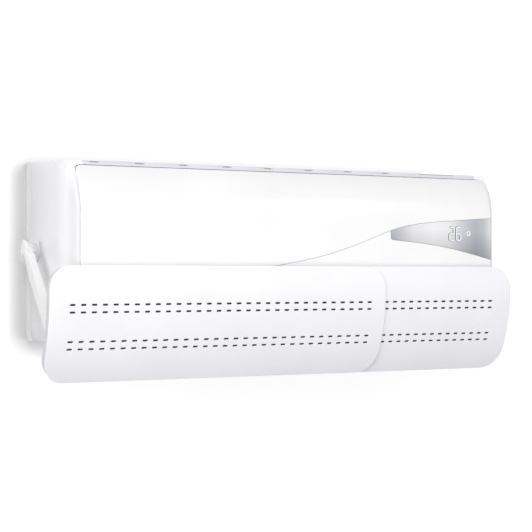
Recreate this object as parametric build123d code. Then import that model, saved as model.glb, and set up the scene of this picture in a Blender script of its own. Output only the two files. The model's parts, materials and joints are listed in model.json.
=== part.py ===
from build123d import *
from math import asin, atan, cos, degrees, pi, radians, sin, sqrt
import os

# Wall-mounted air conditioner (indoor unit) with a two-panel telescopic wind deflector.
# Millimetres. +X is the viewer's right, the front faces -Y, +Z is up, the wall is the plane Y = 0.
# The origin is the centre of the wall plate's four bolt holes, on the wall.
# Sections are drawn as (depth, height): depth in front of the wall, height above the unit's bottom.

# ---- driving dimensions: body of the unit ----
WIDTH = 806.0
HEIGHT = 292.0
DEPTH = 205.0
BOLT_HEIGHT = 170.0          # bolt centre above the unit's bottom edge
WALL = 3.0                   # casing wall
PANEL_WALL = 3.0             # front panels
PANEL_PROUD = 1.2            # front panels stand proud of the frame
SEAM = 22.0                  # depth of the seam between rear and front casing
BACK_WALL = 9.0              # depth of the rear casing's back wall, the plate lies behind it
CORNER_IN = 13.0             # frame corner: how far in along X
CORNER_BACK = 47.0           # frame corner: how far back along the side
EDGE_BEVEL = 13.0            # bevel of the long top and bottom edges at each end
EDGE_BEVEL_IN = 3.0
REAR_BEVEL_IN = 0.5          # the rear casing keeps nearly square ends
LOW_RADIUS = 95.0            # lower front curve of the section
TOP_RADIUS = 110.0           # upper front curve of the section
TOP_CURVE_START = 205.0      # height where the upper curve starts
PANEL_TOP = 278.5            # height of the front panel's top edge
ROOF_SLOPE = 0.0375          # the top face falls towards the room by this share
PANEL_CORNER = 10.0
GAP = 0.4                    # gap between neighbouring fixed covers
RUN = 0.5                    # gap round pieces that move

# ---- fan, coils and outlet ----
DUCT_LEFT = -345.0
DUCT_RIGHT = 235.0
DUCT_WALL = 3.0
FAN_DEPTH = 105.0
FAN_HEIGHT = 118.0
FAN_RADIUS = 46.0
FAN_BLADES = 32
FAN_DISCS = 8
FAN_DISC = 3.0
FAN_END_GAP = 4.0
SHAFT_RADIUS = 4.0
SHAFT_FIT = 0.05
COIL_THICK = 24.0
COIL_LEFT = -335.0
COIL_RIGHT = 222.0
TUBE_RADIUS = 3.5
TUBE_FIT = 0.1
TUBE_PITCH = 21.0
PLATE_SHEET = 1.2
# Each coil slab: name, centre depth, centre height, length, lean from upright in degrees.
COILS = (("coil_front", 172.0, 162.0, 86.0, 0.0),
         ("coil_top", 140.0, 241.0, 68.0, 44.0),
         ("coil_rear", 77.0, 225.0, 78.0, -37.0))

# ---- louver and vanes ----
LOUVER_TOP = 18.6            # degrees below level, as seen from the lower curve's centre
LOUVER_BOTTOM = 75.0
LOUVER_WALL = 3.0
LOUVER_PIVOT = (163.0, 36.0)
LOUVER_PIN = 3.0
VANES = 8
VANE_PITCH = 66.0
VANE_SHEET = 1.6
VANE_AHEAD = 24.0            # vane plate downstream of its pin
VANE_BEHIND = 12.0           # and upstream of it
VANE_SPAN = 40.0
VANE_ALONG = 50.0            # pin's place along the outlet floor
VANE_PIN = 2.0
VANE_CRANK = 16.0            # link pin downstream of the vane pin
LINK_PIN = 1.5
LINK_WIDTH = 9.0
LINK_SHEET = 2.0
LINK_LIFT = 0.4              # link above the outlet floor

# ---- display ----
LENS_LEFT = 177.0
LENS_WALL = 2.4

# ---- wind deflector ----
ARC_RADIUS = 255.0
ARC_APEX_HEIGHT = 80.0
ARC_APEX_DEPTH = 227.0
DEFLECTOR_TOP = 122.0
DEFLECTOR_BOTTOM = -58.0
DEFLECTOR_WALL = 3.0
DEFLECTOR_CORNER = 36.0
PANEL_LENGTH = 600.0
DEFLECTOR_LEFT = -448.0
PANEL_OVERLAP = 334.0
PANEL_GAP = 0.8
SLOT_LENGTH = 9.4
SLOT_HEIGHT = 3.2
SLOT_COUNT = 31
LEFT_SLOTS = (37.4, 17.7)      # first slot's middle from the panel's left end, then the pitch
RIGHT_SLOTS = (54.5, 16.74)
SLOT_ROWS = (62.0, 50.5, 5.5, -6.0)

# ---- deflector arms ----
HUB_DEPTH = 45.0
HUB_HEIGHT = 145.0
ARM_THICK = 13.0
LEFT_ARM_GAP = 19.0          # side of the unit to the inner face of the arm
RIGHT_ARM_GAP = 3.8
ARM_SLOPE = 41.5             # degrees of the bar from upright
ARM_REACH = 33.0             # hub axis to the bar's front face
ARM_BAR = 20.0               # bar width
ARM_LENGTH = 192.0           # hub axis to foot pin, measured along the bar
ARM_HEAD = (5.0, 22.5)       # start and end of the raised head, along the bar
ARM_NECK = 33.0              # end of the sunk neck below the head
ARM_TAPER = 70.0             # the bar reaches its full width here
HEAD_RISE = 3.0
NECK_DROP = 3.0
EYE_RADIUS = 12.0
EYE_THICK = 13.0
PAD_RADIUS = 20.0
PAD_THICK = 2.5
ADHESIVE = 0.8
STUD_RADIUS = 5.0
STUD_FIT = 0.1
KNOB_RADIUS = 18.6
KNOB_THICK = 3.5
FOOT_PIN = 4.0
FOOT_RADIUS = 10.0
FOOT_FIT = 0.1
CHEEK = 4.0
SIDE_GAP = 0.3
RAIL_HEIGHTS = (95.0, -30.0)
RAIL_HALF = 8.0
RAIL_DEPTH = 10.0            # channel, front to back
RAIL_SHEET = 2.0
RAIL_SPACE = 5.5             # channel clear of the outer panel, bridged by a spacer
RAIL_FIT = 0.5
STEM_HALF = 2.0
SEAT = 0.2                   # glue line between a rail and its panel
FLANGE = 7.0
FLANGE_WALL = 2.5
TRIM = 2.0                   # sheets are drawn larger by this and then trimmed to their outline

# ---- wall plate and fasteners ----
BOLT_SPACING_X = 420.0
BOLT_SPACING_Z = 120.0
BOLT_HOLE = 2.75
PLATE_LENGTH = 640.0
PLATE_HEIGHT = 210.0
SCREW_RADIUS = 2.0

HALF = WIDTH / 2
PANEL_HALF = HALF - CORNER_IN
FRAME_FRONT = DEPTH - PANEL_PROUD
nodes = {}


# ---- helpers ----
def keep(name, *shapes):
    """Add solids to the named node."""
    for shape in shapes:
        nodes.setdefault(name, []).extend(shape.solids())


def outline(*edges):
    """Closed face from edges in drawing order."""
    return make_face(Curve() + list(edges))


def polygon(*points):
    """Section face from (depth, height) corners."""
    corners = [(-depth, height) for depth, height in points]
    return make_face(Polyline(*corners, close=True))


def line(start, end):
    """Straight section edge between two (depth, height) points."""
    return Line((-start[0], start[1]), (-end[0], end[1]))


def arc(centre, radius, start, end):
    """Section arc; angles in degrees, 0 towards the room, 90 upwards."""
    ends = [start, (start + end) / 2, end]
    spots = [(-centre[0] - radius * cos(radians(a)), centre[1] + radius * sin(radians(a))) for a in ends]
    return ThreePointArc(*spots)


def on_arc(centre, radius, angle):
    """(depth, height) of the point of a section arc at an angle."""
    return centre[0] + radius * cos(radians(angle)), centre[1] + radius * sin(radians(angle))


def along_x(face, left, right):
    """Carry a section face from left to right."""
    return extrude(Plane.YZ.offset(left) * face, amount=right - left)


def out_of_wall(face, near, far):
    """Carry a front-view (x, height) face from one depth to another."""
    return extrude(Plane.XZ.offset(near) * face, amount=far - near)


def block(left, right, near, far, low, high):
    """Box between x limits, depth limits and height limits."""
    centre = Pos((left + right) / 2, -(near + far) / 2, (low + high) / 2)
    return centre * Box(right - left, far - near, high - low)


def rod_x(radius, depth, height, left, right):
    return Pos((left + right) / 2, -depth, height) * Rot(0, 90, 0) * Cylinder(radius, right - left)


def rod_y(radius, x, height, near, far):
    return Pos(x, -(near + far) / 2, height) * Rot(90, 0, 0) * Cylinder(radius, far - near)


def rod_z(radius, x, depth, low, high):
    return Pos(x, -depth, (low + high) / 2) * Cylinder(radius, high - low)


def ring_x(outer, inner, depth, height, left, right):
    return rod_x(outer, depth, height, left, right) - rod_x(inner, depth, height, left - 1, right + 1)


# ---- outside form of the unit ----
def front_edges(inset, front):
    """Front of the section: lower curve, straight face and upper curve, set in from the outside."""
    low = (front - LOW_RADIUS, LOW_RADIUS)
    top = (front - TOP_RADIUS, TOP_CURVE_START)
    turn = degrees(asin((PANEL_TOP - inset - TOP_CURVE_START) / (TOP_RADIUS - inset)))
    face = front - inset
    lower = arc(low, LOW_RADIUS - inset, -90, 0)
    middle = line((face, LOW_RADIUS), (face, TOP_CURVE_START))
    upper = arc(top, TOP_RADIUS - inset, 0, turn)
    return (lower, middle, upper), (low[0], inset), on_arc(top, TOP_RADIUS - inset, turn)


TOP_LIP = 2.0                # casing above the panel's top edge leans back by this


def roof(depth):
    """Height of the top face at a depth."""
    return HEIGHT - ROOF_SLOPE * depth


def side_outline(inset, back):
    """Section of the casings: flat back and bottom, curved front, stepped top edge."""
    curves, foot, tip = front_edges(inset, FRAME_FRONT)
    ledge = (tip[0] - TOP_LIP, roof(tip[0] - TOP_LIP) - inset)
    rear = (back, roof(back) - inset)
    closing = [line(tip, ledge), line(ledge, rear), line(rear, (back, inset)), line((back, inset), foot)]
    return outline(*curves, *closing)


def plan_outline(inset, back):
    """Seen from above: straight sides that turn in to the front along a long soft corner."""
    side = HALF - inset
    front = -FRAME_FRONT + inset
    start = front + CORNER_BACK
    pull = 0.55
    right = Bezier((side, start), (side, start - pull * CORNER_BACK),
                   (side - (1 - pull) * CORNER_IN, front), (side - CORNER_IN, front))
    left = Bezier((CORNER_IN - side, front), ((1 - pull) * CORNER_IN - side, front),
                  (-side, start - pull * CORNER_BACK), (-side, start))
    rest = [Line((side - CORNER_IN, front), (CORNER_IN - side, front)), Line((-side, start), (-side, -back))]
    rest += [Line((-side, -back), (side, -back)), Line((side, -back), (side, start))]
    return outline(right, left, *rest)


def front_outline(inset, bevel_in):
    """Seen from the front: a rectangle with a slim bevel along each end of its long edges."""
    side = HALF - inset
    top = HEIGHT - inset
    nose = side - bevel_in
    corners = [(-nose, inset), (nose, inset), (side, EDGE_BEVEL), (side, HEIGHT - EDGE_BEVEL)]
    corners += [(nose, top), (-nose, top), (-side, HEIGHT - EDGE_BEVEL), (-side, EDGE_BEVEL)]
    return make_face(Polyline(*corners, close=True))


def unit_form(inset, back, bevel_in=EDGE_BEVEL_IN):
    """The unit's outside, or its inside when set in: side, plan and front outlines crossed."""
    side = along_x(side_outline(inset, back), -HALF, HALF)
    plan = extrude(plan_outline(inset, back), amount=HEIGHT)
    front = out_of_wall(front_outline(inset, bevel_in), 0, DEPTH)
    return side & plan & front


# ---- front panels and lens ----
SEAM_CURVE = ((-PANEL_HALF - 5, 98), (-170, 104), (-50, 121.7), (36, 137.7), (135, 168), (181, 184.5),
              (290, 201), (PANEL_HALF + 5, 208.4))
LENS_CURVE = ((LENS_LEFT - 12, 168.5), (LENS_LEFT + 8, 166.8), (290, 156), (PANEL_HALF + 5, 133.2))
PANEL_LOW = 67.0
LENS_TIP = 4.0


def panel_skin(inset, wall):
    """Curved skin of the front panels over the full width, set in from the outside."""
    outer, foot, tip = front_edges(inset, DEPTH)
    inner, inner_foot, inner_tip = front_edges(inset + wall, DEPTH)
    face = outline(*outer, *inner, line(tip, inner_tip), line(foot, inner_foot))
    return along_x(face, -HALF, HALF)


def below_curve(points, drop, floor):
    """Front-view face under a curve through the points, lowered by drop."""
    curve = Spline(*[(x, height - drop) for x, height in points])
    left, right = points[0], points[-1]
    sides = [Line((right[0], right[1] - drop), (right[0], floor)), Line((right[0], floor), (left[0], floor))]
    sides += [Line((left[0], floor), (left[0], left[1] - drop))]
    return outline(curve, *sides)


def panel_field(gap):
    """Front-view outline of both panels together, smaller by gap all round."""
    width = 2 * (PANEL_HALF - gap)
    low = PANEL_LOW + gap
    high = PANEL_TOP + 5
    field = Pos(0, (low + high) / 2) * Rectangle(width, high - low)
    return fillet(field.vertices(), 0.5)


def front_covers():
    """Upper panel, lower panel and the display lens between them at the right end."""
    half_gap = GAP / 2
    field = panel_field(GAP)
    under = below_curve(SEAM_CURVE, half_gap, PANEL_LOW - 10)
    over = below_curve(SEAM_CURVE, -half_gap, PANEL_LOW - 10)
    lens_floor = below_curve(LENS_CURVE, -half_gap, PANEL_LOW - 20)
    lens_bed = below_curve(LENS_CURVE, half_gap, PANEL_LOW - 20)
    end_strip = Pos(LENS_LEFT + HALF / 2, HEIGHT / 2) * Rectangle(HALF, HEIGHT)
    lens = (under - lens_floor) & end_strip & field
    lens = fillet(lens.vertices().group_by(Axis.X)[0], LENS_TIP)
    lens_room = Pos(-GAP, 0) * (under - lens_bed) & Pos(-GAP, 0) * end_strip
    lower = (field & under) - lens_room
    lower = max(lower.faces(), key=lambda face: face.area)
    upper = field - over
    skin = panel_skin(0, PANEL_WALL)
    top_corners = out_of_wall(panel_top_corners(), 0, DEPTH + 5)
    keep("front_panel", (skin & out_of_wall(upper, 60, DEPTH + 5)) & top_corners)
    keep("lower_panel", skin & out_of_wall(lower, 60, DEPTH + 5))
    keep("display_lens", panel_skin(0, LENS_WALL) & out_of_wall(lens, 60, DEPTH + 5))


def panel_top_corners():
    """Mask that rounds the upper corners of the front panel."""
    width = 2 * (PANEL_HALF - GAP)
    mask = Pos(0, PANEL_TOP / 2) * Rectangle(width, PANEL_TOP)
    return fillet(mask.vertices().group_by(Axis.Y)[-1], PANEL_CORNER)


# ---- wall plate ----
PLATE_SHEET_WALL = 1.6
HOOK_X = 200.0
HOOK_HEIGHT = 246.0
HOOK_WIDTH = 24.0
HOOK_RISE = 10.0
HOOK_SLOT = 12.0
HOOK_FIT = 0.3
BACK_SHEET = 2.5
PIPE_HOLE = 32.0
PIPE_HOLE_X = 300.0
PIPE_HOLE_HEIGHT = 45.0
BUTTON_X = 345.0
BUTTON_DEPTH = 70.0
BUTTON_RADIUS = 4.0


def wall_plate():
    low = BOLT_HEIGHT - PLATE_HEIGHT / 2
    plate = block(-PLATE_LENGTH / 2, PLATE_LENGTH / 2, 0, PLATE_SHEET_WALL, low, low + PLATE_HEIGHT)
    for x in (-BOLT_SPACING_X / 2, BOLT_SPACING_X / 2):
        for height in (BOLT_HEIGHT - BOLT_SPACING_Z / 2, BOLT_HEIGHT + BOLT_SPACING_Z / 2):
            plate -= rod_y(BOLT_HOLE, x, height, -1, PLATE_SHEET_WALL + 1)
    plate -= block(-90, 90, -1, PLATE_SHEET_WALL + 1, BOLT_HEIGHT - 45, BOLT_HEIGHT + 45)
    plate -= rod_y(PIPE_HOLE + 4, PIPE_HOLE_X, PIPE_HOLE_HEIGHT, -1, PLATE_SHEET_WALL + 1)
    for side in (-1, 1):
        left = side * HOOK_X - HOOK_WIDTH / 2
        right = left + HOOK_WIDTH
        lip = BACK_WALL + BACK_SHEET + HOOK_FIT
        end = lip + PLATE_SHEET_WALL
        plate += block(left, right, 0, end, HOOK_HEIGHT, HOOK_HEIGHT + PLATE_SHEET_WALL)
        plate += block(left, right, lip, end, HOOK_HEIGHT, HOOK_HEIGHT + HOOK_RISE)
    keep("wall_plate", plate)


# ---- rear casing: rim, back wall, fan scroll and outlet floor in one moulding ----
SCROLL_TOP = (52.0, 172.0)
SCROLL_BACK = (46.0, 112.0)
SCROLL_TURN = (74.0, 60.0)
SCROLL_LIP = (131.0, 9.5)
END_TOP = 178.0
END_STEP = 85.0
END_FRONT = 150.0
GUTTER_FRONT = 70.0
BEARING_RADIUS = 11.0
BEARING_LENGTH = 9.0
BEARING_FIT = 0.1
MOTOR_RADIUS = 40.0
MOTOR_LEFT = 250.0
MOTOR_RIGHT = 306.0
MOTOR_BOSS = 14.0
CRADLE = 14.0
CRADLE_REACH = 50.0          # cradle above and below the fan axis
CRADLE_FIT = 0.3


def scroll_section():
    """Scroll wall: a back arc round the fan, then a straight run down to the outlet's lower lip."""
    back = ThreePointArc((-SCROLL_TOP[0], SCROLL_TOP[1]), (-SCROLL_BACK[0], SCROLL_BACK[1]),
                         (-SCROLL_TURN[0], SCROLL_TURN[1]))
    run = line(SCROLL_TURN, SCROLL_LIP)
    lip = (SCROLL_LIP[0] - DUCT_WALL, SCROLL_LIP[1] - DUCT_WALL)
    under = line(lip, (SCROLL_TURN[0] - DUCT_WALL, SCROLL_TURN[1] - DUCT_WALL))
    outer = ThreePointArc((-SCROLL_TURN[0] + DUCT_WALL, SCROLL_TURN[1] - DUCT_WALL),
                          (-SCROLL_BACK[0] + DUCT_WALL, SCROLL_BACK[1]),
                          (-SCROLL_TOP[0] + DUCT_WALL, SCROLL_TOP[1]))
    top = line((SCROLL_TOP[0] - DUCT_WALL, SCROLL_TOP[1]), SCROLL_TOP)
    return outline(back, run, line(SCROLL_LIP, lip), under, outer, top)


def end_wall(left, right):
    """End wall of the fan duct, stepped down in front for the drain pan."""
    wall = block(left, right, BACK_WALL + 1, END_FRONT, SCROLL_LIP[1], END_TOP)
    wall += block(left, right, END_FRONT - 1, DEPTH, SCROLL_LIP[1], END_STEP)
    limit = rod_x(LOW_RADIUS - 8, FRAME_FRONT - LOW_RADIUS, LOW_RADIUS, left - 1, right + 1)
    limit += block(left - 1, right + 1, 0, FRAME_FRONT - LOW_RADIUS, 0, HEIGHT)
    limit += block(left - 1, right + 1, 0, END_FRONT, LOW_RADIUS, HEIGHT)
    wall = wall & limit
    return wall - rod_x(LOUVER_PIN + RUN, *LOUVER_PIVOT, left - 1, right + 1)


def rear_casing():
    slab = block(-HALF, HALF, 0.5, SEAM, 0, HEIGHT)
    rim = (unit_form(0, 0.5, REAR_BEVEL_IN) & slab) - unit_form(WALL, -5, REAR_BEVEL_IN)
    back = unit_form(1, 0.5, REAR_BEVEL_IN) & block(-HALF, HALF, BACK_WALL, BACK_WALL + BACK_SHEET, 0, HEIGHT)
    body = rim + back
    body -= rod_y(PIPE_HOLE, PIPE_HOLE_X, PIPE_HOLE_HEIGHT, 0, SEAM + 5)
    slot = HOOK_HEIGHT + PLATE_SHEET_WALL + HOOK_FIT
    for side in (-1, 1):
        middle = side * HOOK_X
        reach = HOOK_WIDTH / 2 + 3
        body -= block(middle - reach, middle + reach, 5, SEAM, slot - HOOK_SLOT, slot)
    body += along_x(scroll_section(), DUCT_LEFT - DUCT_WALL, DUCT_RIGHT + DUCT_WALL)
    gutter = polygon((BACK_WALL + 1, 172), (GUTTER_FRONT, 168), (GUTTER_FRONT, 182),
                     (GUTTER_FRONT - 2.5, 182), (GUTTER_FRONT - 2.5, 171), (BACK_WALL + 1, 175))
    body += along_x(gutter, DUCT_LEFT - DUCT_WALL, DUCT_RIGHT + DUCT_WALL)
    for left in (DUCT_LEFT - DUCT_WALL, DUCT_RIGHT):
        body += end_wall(left, left + DUCT_WALL)
    # Bearing seat at the left, motor passage and cradle at the right.
    seat_left = DUCT_LEFT - BEARING_LENGTH
    body += rod_x(BEARING_RADIUS + 3, FAN_DEPTH, FAN_HEIGHT, seat_left, DUCT_LEFT)
    body -= rod_x(BEARING_RADIUS + BEARING_FIT, FAN_DEPTH, FAN_HEIGHT, seat_left - 1, DUCT_LEFT + 1)
    body -= rod_x(MOTOR_BOSS + 2, FAN_DEPTH, FAN_HEIGHT, DUCT_RIGHT - 1, DUCT_RIGHT + DUCT_WALL + 1)
    for left in (MOTOR_LEFT + 4, MOTOR_RIGHT - 4 - CRADLE):
        right = left + CRADLE
        cradle = block(left, right, BACK_WALL + 1, FAN_DEPTH, FAN_HEIGHT - CRADLE_REACH,
                       FAN_HEIGHT + CRADLE_REACH)
        body += cradle - rod_x(MOTOR_RADIUS + CRADLE_FIT, FAN_DEPTH, FAN_HEIGHT, left - 1, right + 1)
    # Bosses for the control box and the casing screws, and the rest for the button's switch.
    for x in (BOX_LEFT + 16, BOX_RIGHT - 16):
        for height in (BOX_LOW + 16, BOX_HIGH - 16):
            body += rod_y(5, x, height, BACK_WALL + 1, BOX_NEAR)
    for x in CASE_SCREW_X:
        boss = block(x - 6, x + 6, BACK_WALL + 1, CASE_SCREW_DEPTH + 6, WALL + GAP, WALL + 11)
        body += boss - rod_z(SCREW_RADIUS, x, CASE_SCREW_DEPTH, 0, WALL + 12)
    body += block(BUTTON_X - 6, BUTTON_X + 6, BACK_WALL + 1, BUTTON_DEPTH - 8, SWITCH_LOW + 1, SWITCH_HIGH - 1)
    for x in vane_places():
        body -= vane_plane(x) * Cylinder(VANE_PIN + RUN, 4 * DUCT_WALL)
    keep("rear_casing", body)


# ---- control box and switch places ----
BOX_LEFT = 312.0
BOX_RIGHT = 388.0
BOX_NEAR = 40.0
BOX_FAR = 180.0
BOX_LOW = 92.0
BOX_HIGH = 250.0
BOX_SHEET = 1.5
SWITCH_LOW = 10.0
SWITCH_HIGH = 20.0


def vane_places():
    """x of each vane, centred in the duct."""
    middle = (DUCT_LEFT + DUCT_RIGHT) / 2
    return [middle + VANE_PITCH * (i - (VANES - 1) / 2) for i in range(VANES)]


def vane_plane(x):
    """Frame on the outlet floor at a vane's pin: local y points upstream, local z off the floor."""
    run = (SCROLL_LIP[0] - SCROLL_TURN[0], SCROLL_LIP[1] - SCROLL_TURN[1])
    size = sqrt(run[0] ** 2 + run[1] ** 2)
    flow = (run[0] / size, run[1] / size)
    foot = (SCROLL_TURN[0] + flow[0] * VANE_ALONG, SCROLL_TURN[1] + flow[1] * VANE_ALONG)
    return Plane(origin=(x, -foot[0], foot[1]), x_dir=(1, 0, 0), z_dir=(0, flow[1], flow[0]))


# ---- front casing ----
TOP_OPEN_NEAR = 30.0
TOP_OPEN_FAR = 166.0
TOP_OPEN_HALF = 386.0
NOTCHES = 8
NOTCH_FIRST = -355.0
NOTCH_PITCH = 77.4
NOTCH_HALF = 8.0
NOTCH_TALL = 3.8
RECESS_LENGTH = 76.0
RECESS_TALL = 2.6
GRILLE_RIB_HALF = 1.5
LINER = 12.0
OUTLET_TOP_ANGLE = -17.0
OUTLET_LOW_ANGLE = -77.0
PANEL_SEAT = 0.3
CASE_SCREW_X = (-300.0, 0.0, 300.0)
CASE_SCREW_DEPTH = 34.0


def notch_places():
    """x of each small notch in the lip above the front panel, one in front of each grille rib."""
    return [NOTCH_FIRST + NOTCH_PITCH * i for i in range(NOTCHES)]


def lip_cuts():
    """Cuts in the top of the lip: the row of notches and one long recess to the right of them."""
    lip_top = roof(TOP_OPEN_FAR)
    cuts = [block(x - NOTCH_HALF, x + NOTCH_HALF, TOP_OPEN_FAR - 2, DEPTH, lip_top - NOTCH_TALL, HEIGHT)
            for x in notch_places()]
    start = notch_places()[-1] + NOTCH_PITCH - NOTCH_HALF
    recess = block(start, start + RECESS_LENGTH, TOP_OPEN_FAR - 2, DEPTH, lip_top - RECESS_TALL, HEIGHT)
    return cuts + [recess]


def front_casing():
    outer = unit_form(0, SEAM + GAP) & block(-HALF, HALF, SEAM + GAP, DEPTH, 0, HEIGHT)
    shell = outer - unit_form(WALL, 0)
    field = panel_field(0)
    shell -= out_of_wall(field & Pos(0, PANEL_TOP / 2 + GAP) * Rectangle(WIDTH, PANEL_TOP), 150, DEPTH + 5)
    shell -= block(-TOP_OPEN_HALF, TOP_OPEN_HALF, TOP_OPEN_NEAR, TOP_OPEN_FAR, HEIGHT - 12, HEIGHT + 1)
    for cut in lip_cuts():
        shell -= cut
    # Outlet between the duct's end walls, along the lower front curve.
    centre = (FRAME_FRONT - LOW_RADIUS, LOW_RADIUS)
    far = 3 * LOW_RADIUS
    start, end = on_arc(centre, far, OUTLET_LOW_ANGLE), on_arc(centre, far, OUTLET_TOP_ANGLE)
    wedge = polygon(centre, start, (far, -far), end)
    shell -= along_x(wedge, DUCT_LEFT, DUCT_RIGHT) & block(-HALF, HALF, 0, DEPTH + 5, -1, PANEL_LOW)
    # Ledge behind the panels' ends and behind their lower edge.
    ledge = panel_skin(PANEL_WALL + PANEL_SEAT, WALL)
    for left, right in ((-PANEL_HALF - 1, -PANEL_HALF + LINER), (PANEL_HALF - LINER, PANEL_HALF + 1)):
        shell += ledge & block(left, right, 150, DEPTH, PANEL_LOW + 5, PANEL_TOP)
    shell += ledge & block(-PANEL_HALF, PANEL_HALF, 150, DEPTH, PANEL_LOW + 5, PANEL_LOW + 5 + LINER)
    for x in CASE_SCREW_X:
        shell -= rod_z(SCREW_RADIUS + 0.2, x, CASE_SCREW_DEPTH, -1, WALL + 1)
    shell -= rod_z(BUTTON_RADIUS + RUN, BUTTON_X, BUTTON_DEPTH, -1, WALL + 1)
    keep("front_casing", shell)


# ---- top grille and filters ----
GRILLE_THICK = 4.0
GRILLE_MIDDLE = (TOP_OPEN_NEAR + TOP_OPEN_FAR) / 2
GRILLE_TOP = roof(GRILLE_MIDDLE) - 3.0
GRILLE_FRAME = 5.0
GRILLE_BAR = 2.0
GRILLE_BAR_PITCH = 8.5
FILTER_SHEET = 3.0
FILTER_GAP = 0.6
FILTER_FRAME = 6.0
FILTER_LENGTH = 268.0
FILTER_SPACE = 9.0
FILTER_REACH = 104.0
FILTER_SLOT_WIDTH = 11.0


def filter_line():
    """Start at the filter's lower end and the direction in which it draws out, as (depth, height)."""
    name, depth, height, length, lean = COILS[1]
    along = (-sin(radians(lean)), cos(radians(lean)))
    normal = (cos(radians(lean)), sin(radians(lean)))
    off = COIL_THICK / 2 + FILTER_GAP + FILTER_SHEET / 2
    middle = (depth + normal[0] * off, height + normal[1] * off)
    rise = (GRILLE_TOP - FILTER_SHEET - middle[1]) / along[1]
    start = rise - FILTER_REACH
    return (middle[0] + along[0] * start, middle[1] + along[1] * start), along, normal


def filter_plate(left, right, low, high, thick):
    """Flat plate in the filter's own plane, low and high measured along its draw direction."""
    foot, along, normal = filter_line()
    corners = []
    for run, side in ((low, -1), (high, -1), (high, 1), (low, 1)):
        reach = side * thick / 2
        corners.append((foot[0] + along[0] * run + normal[0] * reach,
                        foot[1] + along[1] * run + normal[1] * reach))
    return along_x(polygon(*corners), left, right)


def filters():
    for name, left in (("filter_left", COIL_LEFT + 2), ("filter_right", COIL_LEFT + 2 + FILTER_LENGTH + FILTER_SPACE)):
        right = left + FILTER_LENGTH
        frame = filter_plate(left, right, 0, FILTER_REACH, FILTER_SHEET)
        cells = 4
        cell = (FILTER_LENGTH - FILTER_FRAME) / cells
        for i in range(cells):
            start = left + FILTER_FRAME + cell * i
            frame -= filter_plate(start, start + cell - FILTER_FRAME, FILTER_FRAME, FILTER_REACH - 14, 2 * FILTER_SHEET)
        net = filter_plate(left + 2, right - 2, 2, FILTER_REACH - 12, 0.6)
        keep(name, frame + net)


def grille_bars(near, far):
    """Bars along the unit between two depths, evenly spaced."""
    count = int((far - near) / GRILLE_BAR_PITCH)
    pitch = (far - near) / (count + 1)
    return [near + pitch * (i + 1) for i in range(count)]


def top_grille():
    low = GRILLE_TOP - GRILLE_THICK
    half = TOP_OPEN_HALF - GAP
    near = TOP_OPEN_NEAR + GAP
    far = TOP_OPEN_FAR - GAP
    foot, along, normal = filter_line()
    exit_depth = foot[0] + along[0] * (low - foot[1]) / along[1]
    slot_near = exit_depth - FILTER_SLOT_WIDTH
    slot_far = exit_depth + FILTER_SLOT_WIDTH / 2 + 2
    grille = block(-half, half, near, far, low, GRILLE_TOP)
    for start, end in ((near + GRILLE_FRAME, slot_near - 3), (slot_far + 3, far - GRILLE_FRAME)):
        grille -= block(-half + GRILLE_FRAME, half - GRILLE_FRAME, start, end, low - 1, GRILLE_TOP + 1)
        for depth in grille_bars(start, end):
            grille += block(-half + 1, half - 1, depth - GRILLE_BAR / 2, depth + GRILLE_BAR / 2, low, GRILLE_TOP)
        for x in notch_places():
            grille += block(x - GRILLE_RIB_HALF, x + GRILLE_RIB_HALF, start - 1, end + 1, low, GRILLE_TOP)
    for name_left in (COIL_LEFT + 2, COIL_LEFT + 2 + FILTER_LENGTH + FILTER_SPACE):
        grille -= block(name_left - 1, name_left + FILTER_LENGTH + 1, slot_near, slot_far, low - 1, GRILLE_TOP + 1)
    tilt = degrees(atan(ROOF_SLOPE))
    pivot = Pos(0, -GRILLE_MIDDLE, GRILLE_TOP)
    keep("top_grille", pivot * Rot(tilt, 0, 0) * Pos(0, GRILLE_MIDDLE, -GRILLE_TOP) * grille)


# ---- drain pan ----
PAN_UNDER = 90.0
PAN_FLOOR = 96.0
PAN_RIM = 113.0
PAN_NEAR = 154.0
PAN_FAR = 198.0
PAN_WALL = 2.5
SPIGOT_RADIUS = 8.0
COIL_SEAT = 0.3


def drain_pan():
    left, right = DUCT_LEFT - 16, DUCT_RIGHT + 10
    trough = polygon((PAN_NEAR, PAN_RIM), (PAN_NEAR, PAN_UNDER), (PAN_FAR, END_STEP + 0.5), (PAN_FAR, PAN_RIM))
    hollow = polygon((PAN_NEAR + PAN_WALL, PAN_RIM + 1), (PAN_NEAR + PAN_WALL, PAN_FLOOR),
                     (PAN_FAR - PAN_WALL, PAN_FLOOR - 4), (PAN_FAR - PAN_WALL, PAN_RIM + 1))
    pan = along_x(trough, left, right) - along_x(hollow, left + PAN_WALL, right - PAN_WALL)
    coil_foot = COILS[0][2] - COILS[0][3] / 2 - COIL_SEAT
    for x in (COIL_LEFT + 30, -60.0, COIL_RIGHT - 30):
        pan += block(x - 2, x + 2, PAN_NEAR + 1, PAN_FAR - 1, PAN_FLOOR - 5, coil_foot)
    spigot_depth = PAN_FAR - PAN_WALL - SPIGOT_RADIUS - 1
    spigot = rod_x(SPIGOT_RADIUS, spigot_depth, PAN_FLOOR + 5, left - 22, left + 1)
    pan += spigot
    pan -= rod_x(SPIGOT_RADIUS - 2, spigot_depth, PAN_FLOOR + 5, left - 23, left + PAN_WALL + 1)
    keep("drain_pan", pan)


# ---- heat exchanger ----
def coil_frame(coil):
    """Place of a coil slab: local x along the unit, local y up the slab, local z through it."""
    name, depth, height, length, lean = coil
    middle = (COIL_LEFT + COIL_RIGHT) / 2
    return Pos(middle, -depth, height) * Rot(-lean, 0, 0)


def coil_tube_spots(coil):
    """Tube centres of one slab, as (through the slab, up the slab)."""
    rows = int(coil[3] / TUBE_PITCH)
    rows -= rows % 2
    start = -(rows - 1) / 2 * TUBE_PITCH
    return [(side * COIL_THICK / 4, start + TUBE_PITCH * i) for side in (-1, 1) for i in range(rows)]


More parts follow.
